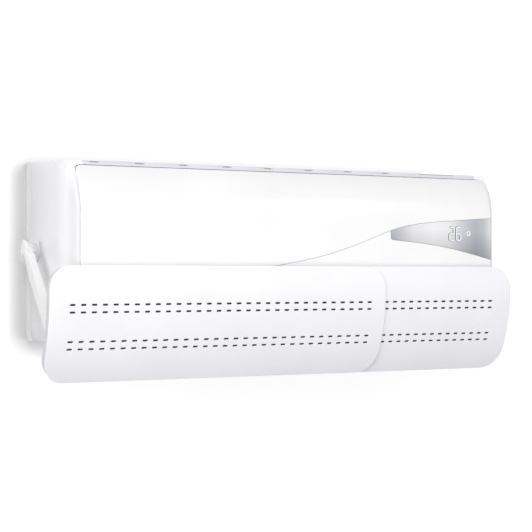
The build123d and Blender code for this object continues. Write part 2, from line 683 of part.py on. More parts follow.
def coils():
    length_x = COIL_RIGHT - COIL_LEFT
    plates = None
    for coil in COILS:
        name, depth, height, length, lean = coil
        place = coil_frame(coil)
        spots = coil_tube_spots(coil)
        fins = Box(length_x, COIL_THICK, length)
        plate = Box(PLATE_SHEET, COIL_THICK + 3, length + 6)
        for through, up in spots:
            hole = Pos(0, through, up) * Rot(0, 90, 0) * Cylinder(TUBE_RADIUS + TUBE_FIT, length_x + 10)
            fins -= hole
            plate -= hole
        keep(name, place * fins)
        for side in (-1, 1):
            flange = Pos(side * (length_x + PLATE_SHEET) / 2, 0, 0) * plate
            keep("coil_end_plates", place * flange)
        reach = length_x / 2 + 8
        for (through, low), (same, high) in zip(spots[::2], spots[1::2]):
            bend = TUBE_PITCH / 2
            middle = (low + high) / 2
            loop = Torus(bend, TUBE_RADIUS)
            loop = Pos(reach, through, middle) * Rot(90, 0, 0) * loop
            loop = loop & Pos(reach + TUBE_PITCH, through, middle) * Box(2 * TUBE_PITCH, TUBE_PITCH, 3 * TUBE_PITCH)
            pair = loop
            for up in (low, high):
                pair += Pos(0, through, up) * Rot(0, 90, 0) * Cylinder(TUBE_RADIUS, 2 * reach)
            keep("coil_tubes", place * pair)


# ---- cross-flow fan, bearing and motor ----
HUB_RADIUS = 12.0


def fan():
    left, right = DUCT_LEFT + FAN_END_GAP, DUCT_RIGHT - FAN_END_GAP
    blade = make_face(Curve() + [ThreePointArc((36.5, 0), (41.5, 2.2), (FAN_RADIUS - 0.5, 8.5)),
                                 Line((FAN_RADIUS - 0.5, 8.5), (FAN_RADIUS - 1.3, 9.8)),
                                 ThreePointArc((FAN_RADIUS - 1.3, 9.8), (40.6, 3.6), (36.5, 1.4)),
                                 Line((36.5, 1.4), (36.5, 0))])
    wheel = Sketch() + [Rot(0, 0, 360 / FAN_BLADES * i) * blade for i in range(FAN_BLADES)]
    place = Plane.YZ.offset(left)
    wheel = extrude(place * (Pos(-FAN_DEPTH, FAN_HEIGHT) * wheel), amount=right - left)
    pitch = (right - left - FAN_DISC) / (FAN_DISCS - 1)
    for i in range(FAN_DISCS):
        start = left + pitch * i
        inner = 30.0 if 0 < i < FAN_DISCS - 1 else SHAFT_RADIUS
        wheel += ring_x(FAN_RADIUS, inner, FAN_DEPTH, FAN_HEIGHT, start, start + FAN_DISC)
    stub_left = DUCT_LEFT - BEARING_LENGTH + 1
    wheel += rod_x(SHAFT_RADIUS, FAN_DEPTH, FAN_HEIGHT, stub_left, left + FAN_DISC)
    wheel += rod_x(HUB_RADIUS, FAN_DEPTH, FAN_HEIGHT, right - 20, right)
    wheel -= rod_x(SHAFT_RADIUS + SHAFT_FIT, FAN_DEPTH, FAN_HEIGHT, right - 18, right + 1)
    keep("fan_wheel", wheel)
    bearing = ring_x(BEARING_RADIUS, SHAFT_RADIUS + SHAFT_FIT, FAN_DEPTH, FAN_HEIGHT,
                     DUCT_LEFT - BEARING_LENGTH, DUCT_LEFT)
    keep("fan_bearing", bearing)
    motor = rod_x(MOTOR_RADIUS, FAN_DEPTH, FAN_HEIGHT, MOTOR_LEFT, MOTOR_RIGHT)
    motor += rod_x(MOTOR_BOSS, FAN_DEPTH, FAN_HEIGHT, DUCT_RIGHT + 1, MOTOR_LEFT + 1)
    motor += rod_x(SHAFT_RADIUS, FAN_DEPTH, FAN_HEIGHT, right - 17, DUCT_RIGHT + 2)
    keep("fan_motor", motor)
    for left in (MOTOR_LEFT + 4, MOTOR_RIGHT - 4 - CRADLE):
        strap = ring_x(MOTOR_RADIUS + 2, MOTOR_RADIUS + CRADLE_FIT, FAN_DEPTH, FAN_HEIGHT, left, left + CRADLE)
        strap = strap & block(left, left + CRADLE, FAN_DEPTH + 0.2, DEPTH, 0, HEIGHT)
        for end in (FAN_HEIGHT - CRADLE_REACH, FAN_HEIGHT + CRADLE_REACH - 9):
            strap += block(left, left + CRADLE, FAN_DEPTH + 0.2, FAN_DEPTH + 2.2, end, end + 9)
        keep("motor_clamps", strap)


# ---- louver, vanes and their motors ----
def louver():
    centre = (FRAME_FRONT - LOW_RADIUS, LOW_RADIUS)
    inner = LOW_RADIUS - LOUVER_WALL
    top, low = -LOUVER_TOP, -LOUVER_BOTTOM
    face = outline(arc(centre, LOW_RADIUS, top, low), arc(centre, inner, top, low),
                   line(on_arc(centre, LOW_RADIUS, top), on_arc(centre, inner, top)),
                   line(on_arc(centre, LOW_RADIUS, low), on_arc(centre, inner, low)))
    left, right = DUCT_LEFT + RUN, DUCT_RIGHT - RUN
    blade = along_x(face, left, right)
    ear = polygon((LOUVER_PIVOT[0] - 5, LOUVER_PIVOT[1] + 4), (LOUVER_PIVOT[0] + 4, LOUVER_PIVOT[1] + 5),
                  on_arc(centre, inner + 1, -32), on_arc(centre, inner + 1, -60))
    for start, end, near, far in ((left, left + 3, left - 2.5, left + 3), (right - 3, right, right - 3, right + 8)):
        blade += along_x(ear, start, end)
        blade += rod_x(LOUVER_PIN, *LOUVER_PIVOT, near, far)
    keep("louver", blade)
    face = DUCT_RIGHT + DUCT_WALL
    motor = ring_x(9.5, LOUVER_PIN + RUN, *LOUVER_PIVOT, face, face + 5)
    motor += rod_x(9.5, *LOUVER_PIVOT, face + 5, face + 14)
    keep("louver_motor", motor)


def vanes():
    for i, x in enumerate(vane_places()):
        frame = vane_plane(x)
        low = LINK_LIFT + LINK_SHEET + RUN
        plate = Pos(0, (VANE_BEHIND - VANE_AHEAD) / 2, (low + VANE_SPAN) / 2)
        plate = plate * Box(VANE_SHEET, VANE_AHEAD + VANE_BEHIND, VANE_SPAN - low)
        pin_top = low + 3
        vane = plate + Pos(0, 0, (pin_top - 2.5) / 2) * Cylinder(VANE_PIN, pin_top + 2.5)
        vane += Pos(0, -VANE_CRANK, (pin_top + LINK_LIFT + 0.2) / 2) * Cylinder(LINK_PIN, pin_top - LINK_LIFT - 0.2)
        keep(f"vane_{i + 1}", frame * vane)
    half = VANES // 2
    for name, group in (("vane_link_left", vane_places()[:half]), ("vane_link_right", vane_places()[half:])):
        middle = (group[0] + group[-1]) / 2
        frame = vane_plane(middle)
        place = Pos(0, -VANE_CRANK + 1, LINK_LIFT + LINK_SHEET / 2)
        link = place * Box(group[-1] - group[0] + 20, LINK_WIDTH, LINK_SHEET)
        for x in group:
            slot = Box(2 * (LINK_PIN + RUN), 2 * LINK_PIN + 3.4, 3 * LINK_SHEET)
            link -= Pos(x - middle, -VANE_CRANK + 1, LINK_LIFT) * slot
        keep(name, frame * link)
    frame = vane_plane(DUCT_RIGHT + DUCT_WALL)
    motor = Pos(8, 0, 18) * Rot(0, 90, 0) * Cylinder(12, 16)
    keep("vane_motor", frame * motor)


# ---- control box ----
def control_box():
    box = block(BOX_LEFT, BOX_RIGHT, BOX_NEAR, BOX_FAR, BOX_LOW, BOX_HIGH)
    box -= block(BOX_LEFT + BOX_SHEET, BOX_RIGHT - BOX_SHEET, BOX_NEAR + BOX_SHEET, BOX_FAR + 1,
                 BOX_LOW + BOX_SHEET, BOX_HIGH - BOX_SHEET)
    gland_x, gland_depth = BOX_LEFT + 20, BOX_FAR - 18
    box -= rod_z(7.1, gland_x, gland_depth, BOX_LOW - 1, BOX_LOW + BOX_SHEET + 1)
    keep("control_box", box)
    lid = block(BOX_LEFT, BOX_RIGHT, BOX_FAR, BOX_FAR + BOX_SHEET, BOX_LOW, BOX_HIGH)
    keep("box_cover", lid)
    gland = rod_z(7, gland_x, gland_depth, BOX_LOW - 5, BOX_LOW + BOX_SHEET + 6)
    gland += rod_z(9, gland_x, gland_depth, BOX_LOW - 5, BOX_LOW)
    gland -= rod_z(4, gland_x, gland_depth, BOX_LOW - 6, BOX_LOW + BOX_SHEET + 7)
    keep("cable_gland", gland)
    board_x = BOX_RIGHT - BOX_SHEET - 5
    board = block(board_x - 1.6, board_x, BOX_NEAR + 8, BOX_FAR - 8, BOX_LOW + 30, BOX_HIGH - 8)
    for depth, height in ((65, 140), (65, 170), (90, 150)):
        board += rod_x(8, depth, height, board_x - 24, board_x - 1)
    board += block(board_x - 22, board_x - 1, 120, 150, 160, 200)
    for depth, height in ((BOX_NEAR + 14, BOX_LOW + 36), (BOX_FAR - 14, BOX_LOW + 36),
                          (BOX_NEAR + 14, BOX_HIGH - 14), (BOX_FAR - 14, BOX_HIGH - 14)):
        board += rod_x(2.5, depth, height, board_x - 1, BOX_RIGHT - BOX_SHEET)
    keep("main_board", board)
    strip = block(BOX_LEFT + BOX_SHEET, BOX_LEFT + BOX_SHEET + 16, 100, 150, BOX_LOW + 40, BOX_LOW + 58)
    for i in range(4):
        depth = 106.5 + 12 * i
        strip -= rod_x(3, depth, BOX_LOW + 49, BOX_LEFT + BOX_SHEET + 9, BOX_LEFT + BOX_SHEET + 20)
    keep("terminal_block", strip)


# ---- pipes, sensor, button and small parts ----
GAS_PIPE = 6.0
LIQUID_PIPE = 3.2
GAS_X = 246.0
LIQUID_X = 278.0
PIPE_END = 316.0
GAS_START = (60.0, 196.0)
GAS_END = (28.0, 32.0)
LIQUID_START = (55.5, 210.0)
PIPE_CLEAR = 10.0            # liquid pipe passes this far below the motor cradle
LIQUID_END = (LIQUID_START[0], FAN_HEIGHT - CRADLE_REACH - PIPE_CLEAR)


def pipe_run(radius, bend, *points):
    """Pipe through (x, depth, height) points with equal bends."""
    path = FilletPolyline(*[(x, -depth, height) for x, depth, height in points], radius=bend)
    mouth = Plane(origin=path @ 0, z_dir=path % 0)
    return sweep(mouth * Circle(radius), path=path)


def pipes():
    start = COIL_RIGHT + PLATE_SHEET
    gas = pipe_run(GAS_PIPE, 13, (start, *GAS_START), (GAS_X, *GAS_START), (GAS_X, GAS_END[0], GAS_START[1]),
                   (GAS_X, *GAS_END), (PIPE_END, *GAS_END))
    liquid = pipe_run(LIQUID_PIPE, 12, (start, *LIQUID_START), (LIQUID_X, *LIQUID_START),
                      (LIQUID_X, *LIQUID_END), (PIPE_END, *LIQUID_END))
    keep("gas_pipe", gas)
    keep("liquid_pipe", liquid)
    for radius, pipe, (depth, height) in ((11, GAS_PIPE, GAS_END), (9, LIQUID_PIPE, LIQUID_END)):
        nut = extrude(Plane.YZ.offset(PIPE_END - 14) * (Pos(-depth, height) * RegularPolygon(radius, 6)), amount=16)
        nut -= rod_x(pipe + 0.1, depth, height, PIPE_END - 15, PIPE_END + 3)
        keep("flare_nuts", nut)
    clip = rod_z(GAS_PIPE + 1.8, GAS_X, GAS_END[0], 110, 134)
    clip -= rod_z(GAS_PIPE + 0.1, GAS_X, GAS_END[0], 109, 135)
    keep("pipe_sensor", clip)


def small_parts():
    cap = rod_z(BUTTON_RADIUS, BUTTON_X, BUTTON_DEPTH, -1.5, SWITCH_LOW - 2)
    cap += rod_z(BUTTON_RADIUS + 2.5, BUTTON_X, BUTTON_DEPTH, WALL + RUN, WALL + RUN + 1.5)
    keep("run_button", cap)
    keep("button_switch", block(BUTTON_X - 9, BUTTON_X + 9, BUTTON_DEPTH - 8, BUTTON_DEPTH + 8, SWITCH_LOW, SWITCH_HIGH))
    for x in CASE_SCREW_X:
        screw = rod_z(SCREW_RADIUS, x, CASE_SCREW_DEPTH, -0.5, WALL + 9)
        keep("casing_screws", screw + rod_z(SCREW_RADIUS * 1.9, x, CASE_SCREW_DEPTH, -1.6, 0))
    back = DEPTH - LENS_WALL - 7
    board = block(LENS_LEFT + 14, PANEL_HALF - 12, back - 1.6, back, 146, 196)
    board -= out_of_wall(below_curve(LENS_CURVE, -10, 0), back - 5, back + 5)
    for x, height in ((LENS_LEFT + 28, 178), (PANEL_HALF - 18, 172)):
        board += rod_y(3, x, height, back - 1, DEPTH - LENS_WALL)
    keep("display_board", board)


# ---- wind deflector: two curved panels, one sliding behind the other ----
ARC_CENTRE = (ARC_APEX_DEPTH - ARC_RADIUS, ARC_APEX_HEIGHT)
OUTER_BACK = ARC_RADIUS - DEFLECTOR_WALL
INNER_FRONT = OUTER_BACK - PANEL_GAP
INNER_BACK = INNER_FRONT - DEFLECTOR_WALL
RIGHT_PANEL_LEFT = DEFLECTOR_LEFT + PANEL_LENGTH - PANEL_OVERLAP
CHANNEL_FRONT = OUTER_BACK - RAIL_SPACE
CHANNEL_BACK = CHANNEL_FRONT - RAIL_DEPTH


def arc_angle(height, radius):
    """Angle at which a section arc of the deflector reaches a height."""
    return degrees(asin((height - ARC_CENTRE[1]) / radius))


def arc_band(outer, inner, low, high):
    """Section of a curved sheet between two radii and two heights, cut level."""
    top = (arc_angle(high, outer), arc_angle(high, inner))
    foot = (arc_angle(low, outer), arc_angle(low, inner))
    return outline(arc(ARC_CENTRE, outer, foot[0], top[0]), arc(ARC_CENTRE, inner, foot[1], top[1]),
                   line(on_arc(ARC_CENTRE, outer, top[0]), on_arc(ARC_CENTRE, inner, top[1])),
                   line(on_arc(ARC_CENTRE, outer, foot[0]), on_arc(ARC_CENTRE, inner, foot[1])))


def deflector_panel(name, left, front, end, slot_line):
    """Curved slotted panel with a flange round its outer end (-1 left, 1 right)."""
    right = left + PANEL_LENGTH
    middle = (left + right) / 2
    tall = DEFLECTOR_TOP - DEFLECTOR_BOTTOM
    centre = Pos(middle, (DEFLECTOR_TOP + DEFLECTOR_BOTTOM) / 2)
    shape = centre * RectangleRounded(PANEL_LENGTH, tall, DEFLECTOR_CORNER)
    core = centre * RectangleRounded(PANEL_LENGTH - 2 * FLANGE_WALL, tall - 2 * FLANGE_WALL,
                                     DEFLECTOR_CORNER - FLANGE_WALL)
    back = front - DEFLECTOR_WALL
    low, high = DEFLECTOR_BOTTOM - TRIM, DEFLECTOR_TOP + TRIM
    sheet = along_x(arc_band(front, back, low, high), left - TRIM, right + TRIM)
    first, pitch = slot_line
    slots = Sketch() + [Pos(left + first + pitch * i, height) * Rectangle(SLOT_LENGTH, SLOT_HEIGHT)
                        for i in range(SLOT_COUNT) for height in SLOT_ROWS]
    panel = (sheet & out_of_wall(shape, 100, 260)) - out_of_wall(slots, 100, 260)
    rim_left = left - TRIM if end < 0 else right - DEFLECTOR_CORNER
    rim_right = left + DEFLECTOR_CORNER if end < 0 else right + TRIM
    rim = along_x(arc_band(back + 1, back - FLANGE, low, high), rim_left, rim_right)
    panel += rim & out_of_wall(shape - core, 100, 260)
    keep(name, panel)


def radial_bar(left, right, inner, outer, height, half):
    """Bar along the unit that stands radially on the deflector's arc at a height."""
    angle = arc_angle(height, OUTER_BACK)
    place = Pos((left + right) / 2, -ARC_CENTRE[0], ARC_CENTRE[1]) * Rot(-angle, 0, 0)
    return place * Pos(0, -(inner + outer) / 2, 0) * Box(right - left, outer - inner, 2 * half)


def channel(left, right, height):
    """C-section rail open towards the room, closed by two lips round a slider's head."""
    rail = radial_bar(left, right, CHANNEL_BACK, CHANNEL_FRONT, height, RAIL_HALF)
    rail -= radial_bar(left - 1, right + 1, CHANNEL_BACK + RAIL_SHEET, CHANNEL_FRONT - RAIL_SHEET, height,
                       RAIL_HALF - RAIL_SHEET)
    return rail - radial_bar(left - 1, right + 1, CHANNEL_BACK + RAIL_SHEET, CHANNEL_FRONT + 1, height,
                             STEM_HALF + RAIL_FIT)


def rails():
    left_end = DEFLECTOR_LEFT + 2 * FLANGE
    right_end = DEFLECTOR_LEFT + PANEL_LENGTH - 2 * FLANGE
    for height in RAIL_HEIGHTS:
        rail = channel(left_end, right_end, height)
        rail += radial_bar(left_end, RIGHT_PANEL_LEFT - FLANGE, CHANNEL_FRONT - 1, OUTER_BACK - SEAT, height,
                           RAIL_HALF)
        keep("rails_left", rail)
        start = RIGHT_PANEL_LEFT + 4
        end = RIGHT_PANEL_LEFT + PANEL_LENGTH - 4 * FLANGE_WALL
        head_front = CHANNEL_FRONT - RAIL_SHEET - RAIL_FIT
        head_back = CHANNEL_BACK + RAIL_SHEET + RAIL_FIT
        slider = radial_bar(start, end, head_back, head_front, height, RAIL_HALF - RAIL_SHEET - RAIL_FIT)
        slider += radial_bar(start, end, head_back, INNER_BACK - SEAT, height, STEM_HALF)
        keep("rails_right", slider)


# ---- arms, their feet and the stick-on studs ----
BAR = (sin(radians(ARM_SLOPE)), -cos(radians(ARM_SLOPE)))
REACH = (cos(radians(ARM_SLOPE)), sin(radians(ARM_SLOPE)))


def arm_point(along, ahead):
    """(depth, height) of a point along the bar and ahead of the hub axis."""
    return (HUB_DEPTH + BAR[0] * along + REACH[0] * ahead, HUB_HEIGHT + BAR[1] * along + REACH[1] * ahead)


FOOT = arm_point(ARM_LENGTH, ARM_REACH - ARM_BAR / 2)


def span(side, near, far):
    """x limits of a piece that lies near to far outside the unit's side."""
    return (-HALF - far, -HALF - near) if side < 0 else (HALF + near, HALF + far)


def arm(name, side, gap, cranked):
    """Arm with a raised head, a sunk neck and a tapered bar; its eye turns on the stud."""
    front, rear = ARM_REACH, ARM_REACH - ARM_BAR
    head, neck, taper = ARM_HEAD, ARM_NECK, ARM_TAPER
    narrow = front - ARM_BAR / 2
    profile = [(head[0], narrow - 5), (head[0], front + HEAD_RISE), (head[1], front + HEAD_RISE),
               (head[1] + 1, front - NECK_DROP), (neck, front - NECK_DROP), (neck + 1, front),
               (ARM_LENGTH, front), (ARM_LENGTH, rear), (taper, rear), (neck, narrow - 3)]
    limits = span(side, gap, gap + ARM_THICK)
    body = along_x(polygon(*[arm_point(*spot) for spot in profile]), *limits)
    body += rod_x(FOOT_RADIUS, *FOOT, *limits)
    web = [(-6, 8), (head[0], narrow), (head[1], front - NECK_DROP - 1), (neck, front - NECK_DROP - 1),
           (neck, narrow - 3), (10, -6)]
    eye_limits = span(side, gap - EYE_THICK + 0.5, gap + 0.5) if cranked else limits
    body += along_x(polygon(*[arm_point(*spot) for spot in web]), *eye_limits)
    body += rod_x(EYE_RADIUS, HUB_DEPTH, HUB_HEIGHT, *eye_limits)
    body -= rod_x(STUD_RADIUS + STUD_FIT, HUB_DEPTH, HUB_HEIGHT, eye_limits[0] - 1, eye_limits[1] + 1)
    body -= rod_x(FOOT_PIN + FOOT_FIT, *FOOT, limits[0] - 1, limits[1] + 1)
    keep(name, body)
    # Stick-on pad with its stud, the adhesive under it and the knob that holds the arm.
    outer = gap + 0.5 if cranked else gap + ARM_THICK
    pad = rod_x(PAD_RADIUS, HUB_DEPTH, HUB_HEIGHT, *span(side, ADHESIVE, ADHESIVE + PAD_THICK))
    pad += rod_x(STUD_RADIUS, HUB_DEPTH, HUB_HEIGHT, *span(side, ADHESIVE, outer + SIDE_GAP + KNOB_THICK))
    if cranked:
        pad += rod_x(EYE_RADIUS, HUB_DEPTH, HUB_HEIGHT, *span(side, ADHESIVE, gap - EYE_THICK + 0.5 - SIDE_GAP))
    keep("stud_pads", pad)
    keep("adhesive_pads", rod_x(PAD_RADIUS - 0.5, HUB_DEPTH, HUB_HEIGHT, *span(side, 0, ADHESIVE)))
    knob_limits = span(side, outer + SIDE_GAP, outer + SIDE_GAP + KNOB_THICK)
    knob = rod_x(KNOB_RADIUS, HUB_DEPTH, HUB_HEIGHT, *knob_limits)
    for i in range(12):
        turn = 2 * pi * i / 12
        notch = (HUB_DEPTH + (KNOB_RADIUS + 1) * cos(turn), HUB_HEIGHT + (KNOB_RADIUS + 1) * sin(turn))
        knob -= rod_x(2.2, *notch, knob_limits[0] - 1, knob_limits[1] + 1)
    knob -= rod_x(STUD_RADIUS + STUD_FIT, HUB_DEPTH, HUB_HEIGHT, knob_limits[0] - 1, knob_limits[1] + 1)
    keep(name.replace("arm", "knob"), knob)


def carrier(name, side, gap, front, back, low, high, inner_end):
    """Plate behind the panel with a cheek and pin for the arm's foot."""
    near, far = gap - SIDE_GAP - CHEEK, gap - SIDE_GAP
    limits = span(side, near, far)
    plate_limits = (limits[0], inner_end) if side < 0 else (inner_end, limits[1])
    plate = along_x(arc_band(front, back, low, high), *plate_limits)
    cheek = polygon(on_arc(ARC_CENTRE, back + 1, arc_angle(46, back)), (FOOT[0] - 4, FOOT[1] + 8),
                    (FOOT[0] + 2, FOOT[1] - 9), on_arc(ARC_CENTRE, back + 1, arc_angle(-14, back)))
    plate += along_x(cheek, *limits) + rod_x(FOOT_RADIUS - 1, *FOOT, *limits)
    plate += rod_x(FOOT_PIN, *FOOT, *span(side, near, gap + ARM_THICK + SIDE_GAP + 1.5))
    plate += rod_x(FOOT_PIN + 2.5, *FOOT, *span(side, gap + ARM_THICK + SIDE_GAP, gap + ARM_THICK + SIDE_GAP + 2))
    keep(name, plate)


def deflector():
    deflector_panel("deflector_left", DEFLECTOR_LEFT, ARC_RADIUS, -1, LEFT_SLOTS)
    deflector_panel("deflector_right", RIGHT_PANEL_LEFT, INNER_FRONT, 1, RIGHT_SLOTS)
    rails()
    arm("arm_left", -1, LEFT_ARM_GAP, True)
    arm("arm_right", 1, RIGHT_ARM_GAP, False)
    low, high = RAIL_HEIGHTS[1] + RAIL_HALF, RAIL_HEIGHTS[0] - RAIL_HALF
    carrier("carrier_left", -1, LEFT_ARM_GAP, OUTER_BACK - SEAT, OUTER_BACK - 5, low + 4, high - 2, -HALF)
    front = CHANNEL_FRONT - 1
    carrier("carrier_right", 1, RIGHT_ARM_GAP, front, front - 5, low + 2.5, high + 0.5, HALF - 27)
    jaws = [channel(HALF - 27, HALF + RIGHT_ARM_GAP - SIDE_GAP, height) for height in RAIL_HEIGHTS]
    nodes["carrier_right"] = (Part() + nodes["carrier_right"] + jaws).solids()


def build():
    wall_plate()
    rear_casing()
    front_casing()
    front_covers()
    filters()
    top_grille()
    drain_pan()
    coils()
    fan()
    louver()
    vanes()
    control_box()
    pipes()
    small_parts()
    deflector()
    os.makedirs("parts", exist_ok=True)
    for name, solids in nodes.items():
        lowered = [Pos(0, 0, -BOLT_HEIGHT) * solid for solid in solids]
        shape = lowered[0] if len(lowered) == 1 else Compound(children=lowered)
        export_step(shape, f"parts/{name}.step")


build()
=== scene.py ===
import bmesh
import bpy
import json
import math
import numpy as np
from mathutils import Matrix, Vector


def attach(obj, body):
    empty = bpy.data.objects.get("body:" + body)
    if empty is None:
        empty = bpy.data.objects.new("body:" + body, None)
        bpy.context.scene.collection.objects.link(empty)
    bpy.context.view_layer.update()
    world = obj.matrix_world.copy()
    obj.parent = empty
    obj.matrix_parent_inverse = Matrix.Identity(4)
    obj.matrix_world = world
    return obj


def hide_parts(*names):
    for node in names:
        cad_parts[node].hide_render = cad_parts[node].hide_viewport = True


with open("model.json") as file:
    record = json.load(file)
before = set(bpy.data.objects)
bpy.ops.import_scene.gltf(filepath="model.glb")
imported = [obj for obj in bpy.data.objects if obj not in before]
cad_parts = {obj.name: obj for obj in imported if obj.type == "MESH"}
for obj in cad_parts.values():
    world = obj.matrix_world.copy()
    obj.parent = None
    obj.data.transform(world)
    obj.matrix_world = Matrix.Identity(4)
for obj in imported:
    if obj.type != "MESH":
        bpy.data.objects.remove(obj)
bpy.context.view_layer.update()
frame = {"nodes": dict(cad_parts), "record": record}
NODES = frame["nodes"]

# Metres. X runs along the unit, the room is on the -Y side, Z is up, the wall is the plane Y = 0.
MM = 0.001
BOTTOM = -170 * MM            # underside of the unit
MERGE = 0.00001               # corners closer than this are one corner
FOIL_ENDS = (0.177, 0.390)    # the display's foil lies between these along X
FOIL_RISE = (-0.030, 0.016)   # and between these heights
SHARP_ANGLE = 32              # edges sharper than this, in degrees, stay crisp


# ---- materials ----
def finish(name):
    """New node material with its shader and output ready to join."""
    mat = bpy.data.materials.new(name)
    mat.use_nodes = True
    tree = mat.node_tree
    return mat, tree, tree.nodes["Principled BSDF"]


def ramp(tree, source, stops):
    """Colour ramp through (place, colour) stops, fed by a 0 to 1 value."""
    node = tree.nodes.new("ShaderNodeValToRGB")
    points = node.color_ramp.elements
    while len(points) < len(stops):
        points.new(0.5)
    for point, (place, colour) in zip(points, stops):
        point.position = place
        point.color = (*colour, 1)
    tree.links.new(source, node.inputs["Fac"])
    return node.outputs["Color"]


def span_of(tree, source, low, high, bottom=0.0, top=1.0):
    """Value that runs from bottom to top while the source runs from low to high."""
    node = tree.nodes.new("ShaderNodeMapRange")
    node.inputs["From Min"].default_value = low
    node.inputs["From Max"].default_value = high
    node.inputs["To Min"].default_value = bottom
    node.inputs["To Max"].default_value = top
    tree.links.new(source, node.inputs["Value"])
    return node.outputs["Result"]


def bumped(tree, shader, height, strength, distance):
    """Bump on the shader, from a height value."""
    bump = tree.nodes.new("ShaderNodeBump")
    bump.inputs["Strength"].default_value = strength
    bump.inputs["Distance"].default_value = distance
    tree.links.new(height, bump.inputs["Height"])
    tree.links.new(bump.outputs["Normal"], shader.inputs["Normal"])


def moulded(name, colour, rough, grain=900.0, depth=0.00004, vary=0.03, painted_light_stops=None):
    """Moulded plastic: faint colour drift, moulding grain in the bump, slow change of roughness, and
    with painted_light_stops = (depth in mm, tone) stops a painted highlight and painted shade, a tone that
    changes with the distance from the wall."""
    mat, tree, shader = finish(name)
    add = tree.nodes.new
    join = tree.links.new
    place = add("ShaderNodeTexCoord")
    drift = add("ShaderNodeTexNoise")
    drift.inputs["Scale"].default_value = 9.0
    drift.inputs["Detail"].default_value = 3.0
    join(place.outputs["Object"], drift.inputs["Vector"])
    dark = [c * (1 - vary) for c in colour]
    light = [min(1, c * (1 + vary * 0.4)) for c in colour]
    tone = ramp(tree, drift.outputs["Fac"], [(0.3, dark), (0.7, light)])
    # Painted light: a tone by depth that stands for highlight and shade on the casing.
    if painted_light_stops:
        axes = add("ShaderNodeSeparateXYZ")
        join(place.outputs["Object"], axes.inputs[0])
        away = painted_light_stops[-1][0]
        stops = [(depth_mm / away, (share, share, share)) for depth_mm, share in painted_light_stops]
        shade = add("ShaderNodeVectorMath")
        shade.operation = "MULTIPLY"
        join(tone, shade.inputs[0])
        join(ramp(tree, span_of(tree, axes.outputs["Y"], 0, -away * MM), stops), shade.inputs[1])
        tone = shade.outputs["Vector"]
    join(tone, shader.inputs["Base Color"])
    fine = add("ShaderNodeTexNoise")
    fine.inputs["Scale"].default_value = grain
    fine.inputs["Detail"].default_value = 2.0
    join(place.outputs["Object"], fine.inputs["Vector"])
    bumped(tree, shader, fine.outputs["Fac"], 0.25, depth)
    join(span_of(tree, drift.outputs["Fac"], 0, 1, rough * 0.9, rough * 1.1), shader.inputs["Roughness"])
    return mat


def display_glaze():
    """Silver foil behind clear acrylic, with a fine brushed grain.

    Its tone along X is a painted reflection in light and dark bands, and painted shade makes it deeper
    towards the bottom.
    """
    mat, tree, shader = finish("display_acrylic_painted_reflection")
    add = tree.nodes.new
    join = tree.links.new
    place = add("ShaderNodeTexCoord")
    axes = add("ShaderNodeSeparateXYZ")
    join(place.outputs["Object"], axes.inputs[0])
    slate, silver, pale = (0.40, 0.415, 0.45), (0.76, 0.76, 0.785), (0.82, 0.82, 0.83)
    # Painted reflection: the light and dark bands along X stand for what the acrylic reflects.
    tone = ramp(tree, span_of(tree, axes.outputs["X"], *FOIL_ENDS),
                [(0.0, slate), (0.07, (0.50, 0.51, 0.55)), (0.22, silver), (0.42, (0.86, 0.86, 0.87)),
                 (0.57, pale), (0.70, (0.60, 0.61, 0.65)), (0.84, (0.44, 0.46, 0.50)),
                 (0.92, (0.52, 0.54, 0.59)), (1.0, (0.80, 0.80, 0.83))])
    # Painted shade: darker towards the bottom.
    deeper = span_of(tree, axes.outputs["Z"], *FOIL_RISE, 0.57, 0.96)
    grain = add("ShaderNodeTexNoise")
    grain.inputs["Scale"].default_value = 60.0
    stretch = add("ShaderNodeMapping")
    stretch.inputs["Scale"].default_value = (1, 1, 30)
    join(place.outputs["Object"], stretch.inputs["Vector"])
    join(stretch.outputs["Vector"], grain.inputs["Vector"])
    brushed = span_of(tree, grain.outputs["Fac"], 0.2, 0.8, 0.97, 1.03)
    both = add("ShaderNodeMath")
    both.operation = "MULTIPLY"
    join(deeper, both.inputs[0])
    join(brushed, both.inputs[1])
    shade = add("ShaderNodeVectorMath")
    shade.operation = "SCALE"
    join(tone, shade.inputs[0])
    join(both.outputs[0], shade.inputs["Scale"])
    join(shade.outputs["Vector"], shader.inputs["Base Color"])
    shader.inputs["Roughness"].default_value = 0.12
    return mat


PANEL = moulded("polished_front_plastic", (0.90, 0.90, 0.90), 0.16, depth=0.00001)
# Painted light: a painted highlight on the rounded end corner (159 to 177 mm from the wall), painted shade
# towards the rear and on the front.
CASING = moulded("satin_casing_plastic_painted_light", (0.955, 0.955, 0.975), 0.28,
                 painted_light_stops=((20, 0.84), (135, 0.915), (159, 1.0), (177, 1.0), (192, 0.85), (203, 0.76)))
DEFLECTOR = moulded("deflector_plastic", (0.90, 0.892, 0.93), 0.30)
ARM = moulded("arm_nylon", (0.88, 0.88, 0.87), 0.42)
LENS = display_glaze()
DIGIT = moulded("display_digit", (0.88, 0.88, 0.92), 0.3)
MARK_SHADE = moulded("display_mark_shade", (0.15, 0.15, 0.19), 0.3)
# Painted shade: a grey for pieces that stand for the shade inside the lip's notches.
SHADE = moulded("shaded_plastic", (0.55, 0.55, 0.59), 0.6)
# Painted shade: a greyer colour for the deflector's end flange and cut edges.
EDGE = moulded("panel_edge_painted_shade", (0.66, 0.66, 0.69), 0.45)
PAD = moulded("pad_plastic", (0.87, 0.87, 0.89), 0.2)
# Painted shade: a greyer colour for the lip above the front panel, which sits in shade.
LIP = moulded("lip_painted_shade", (0.70, 0.70, 0.74), 0.5)


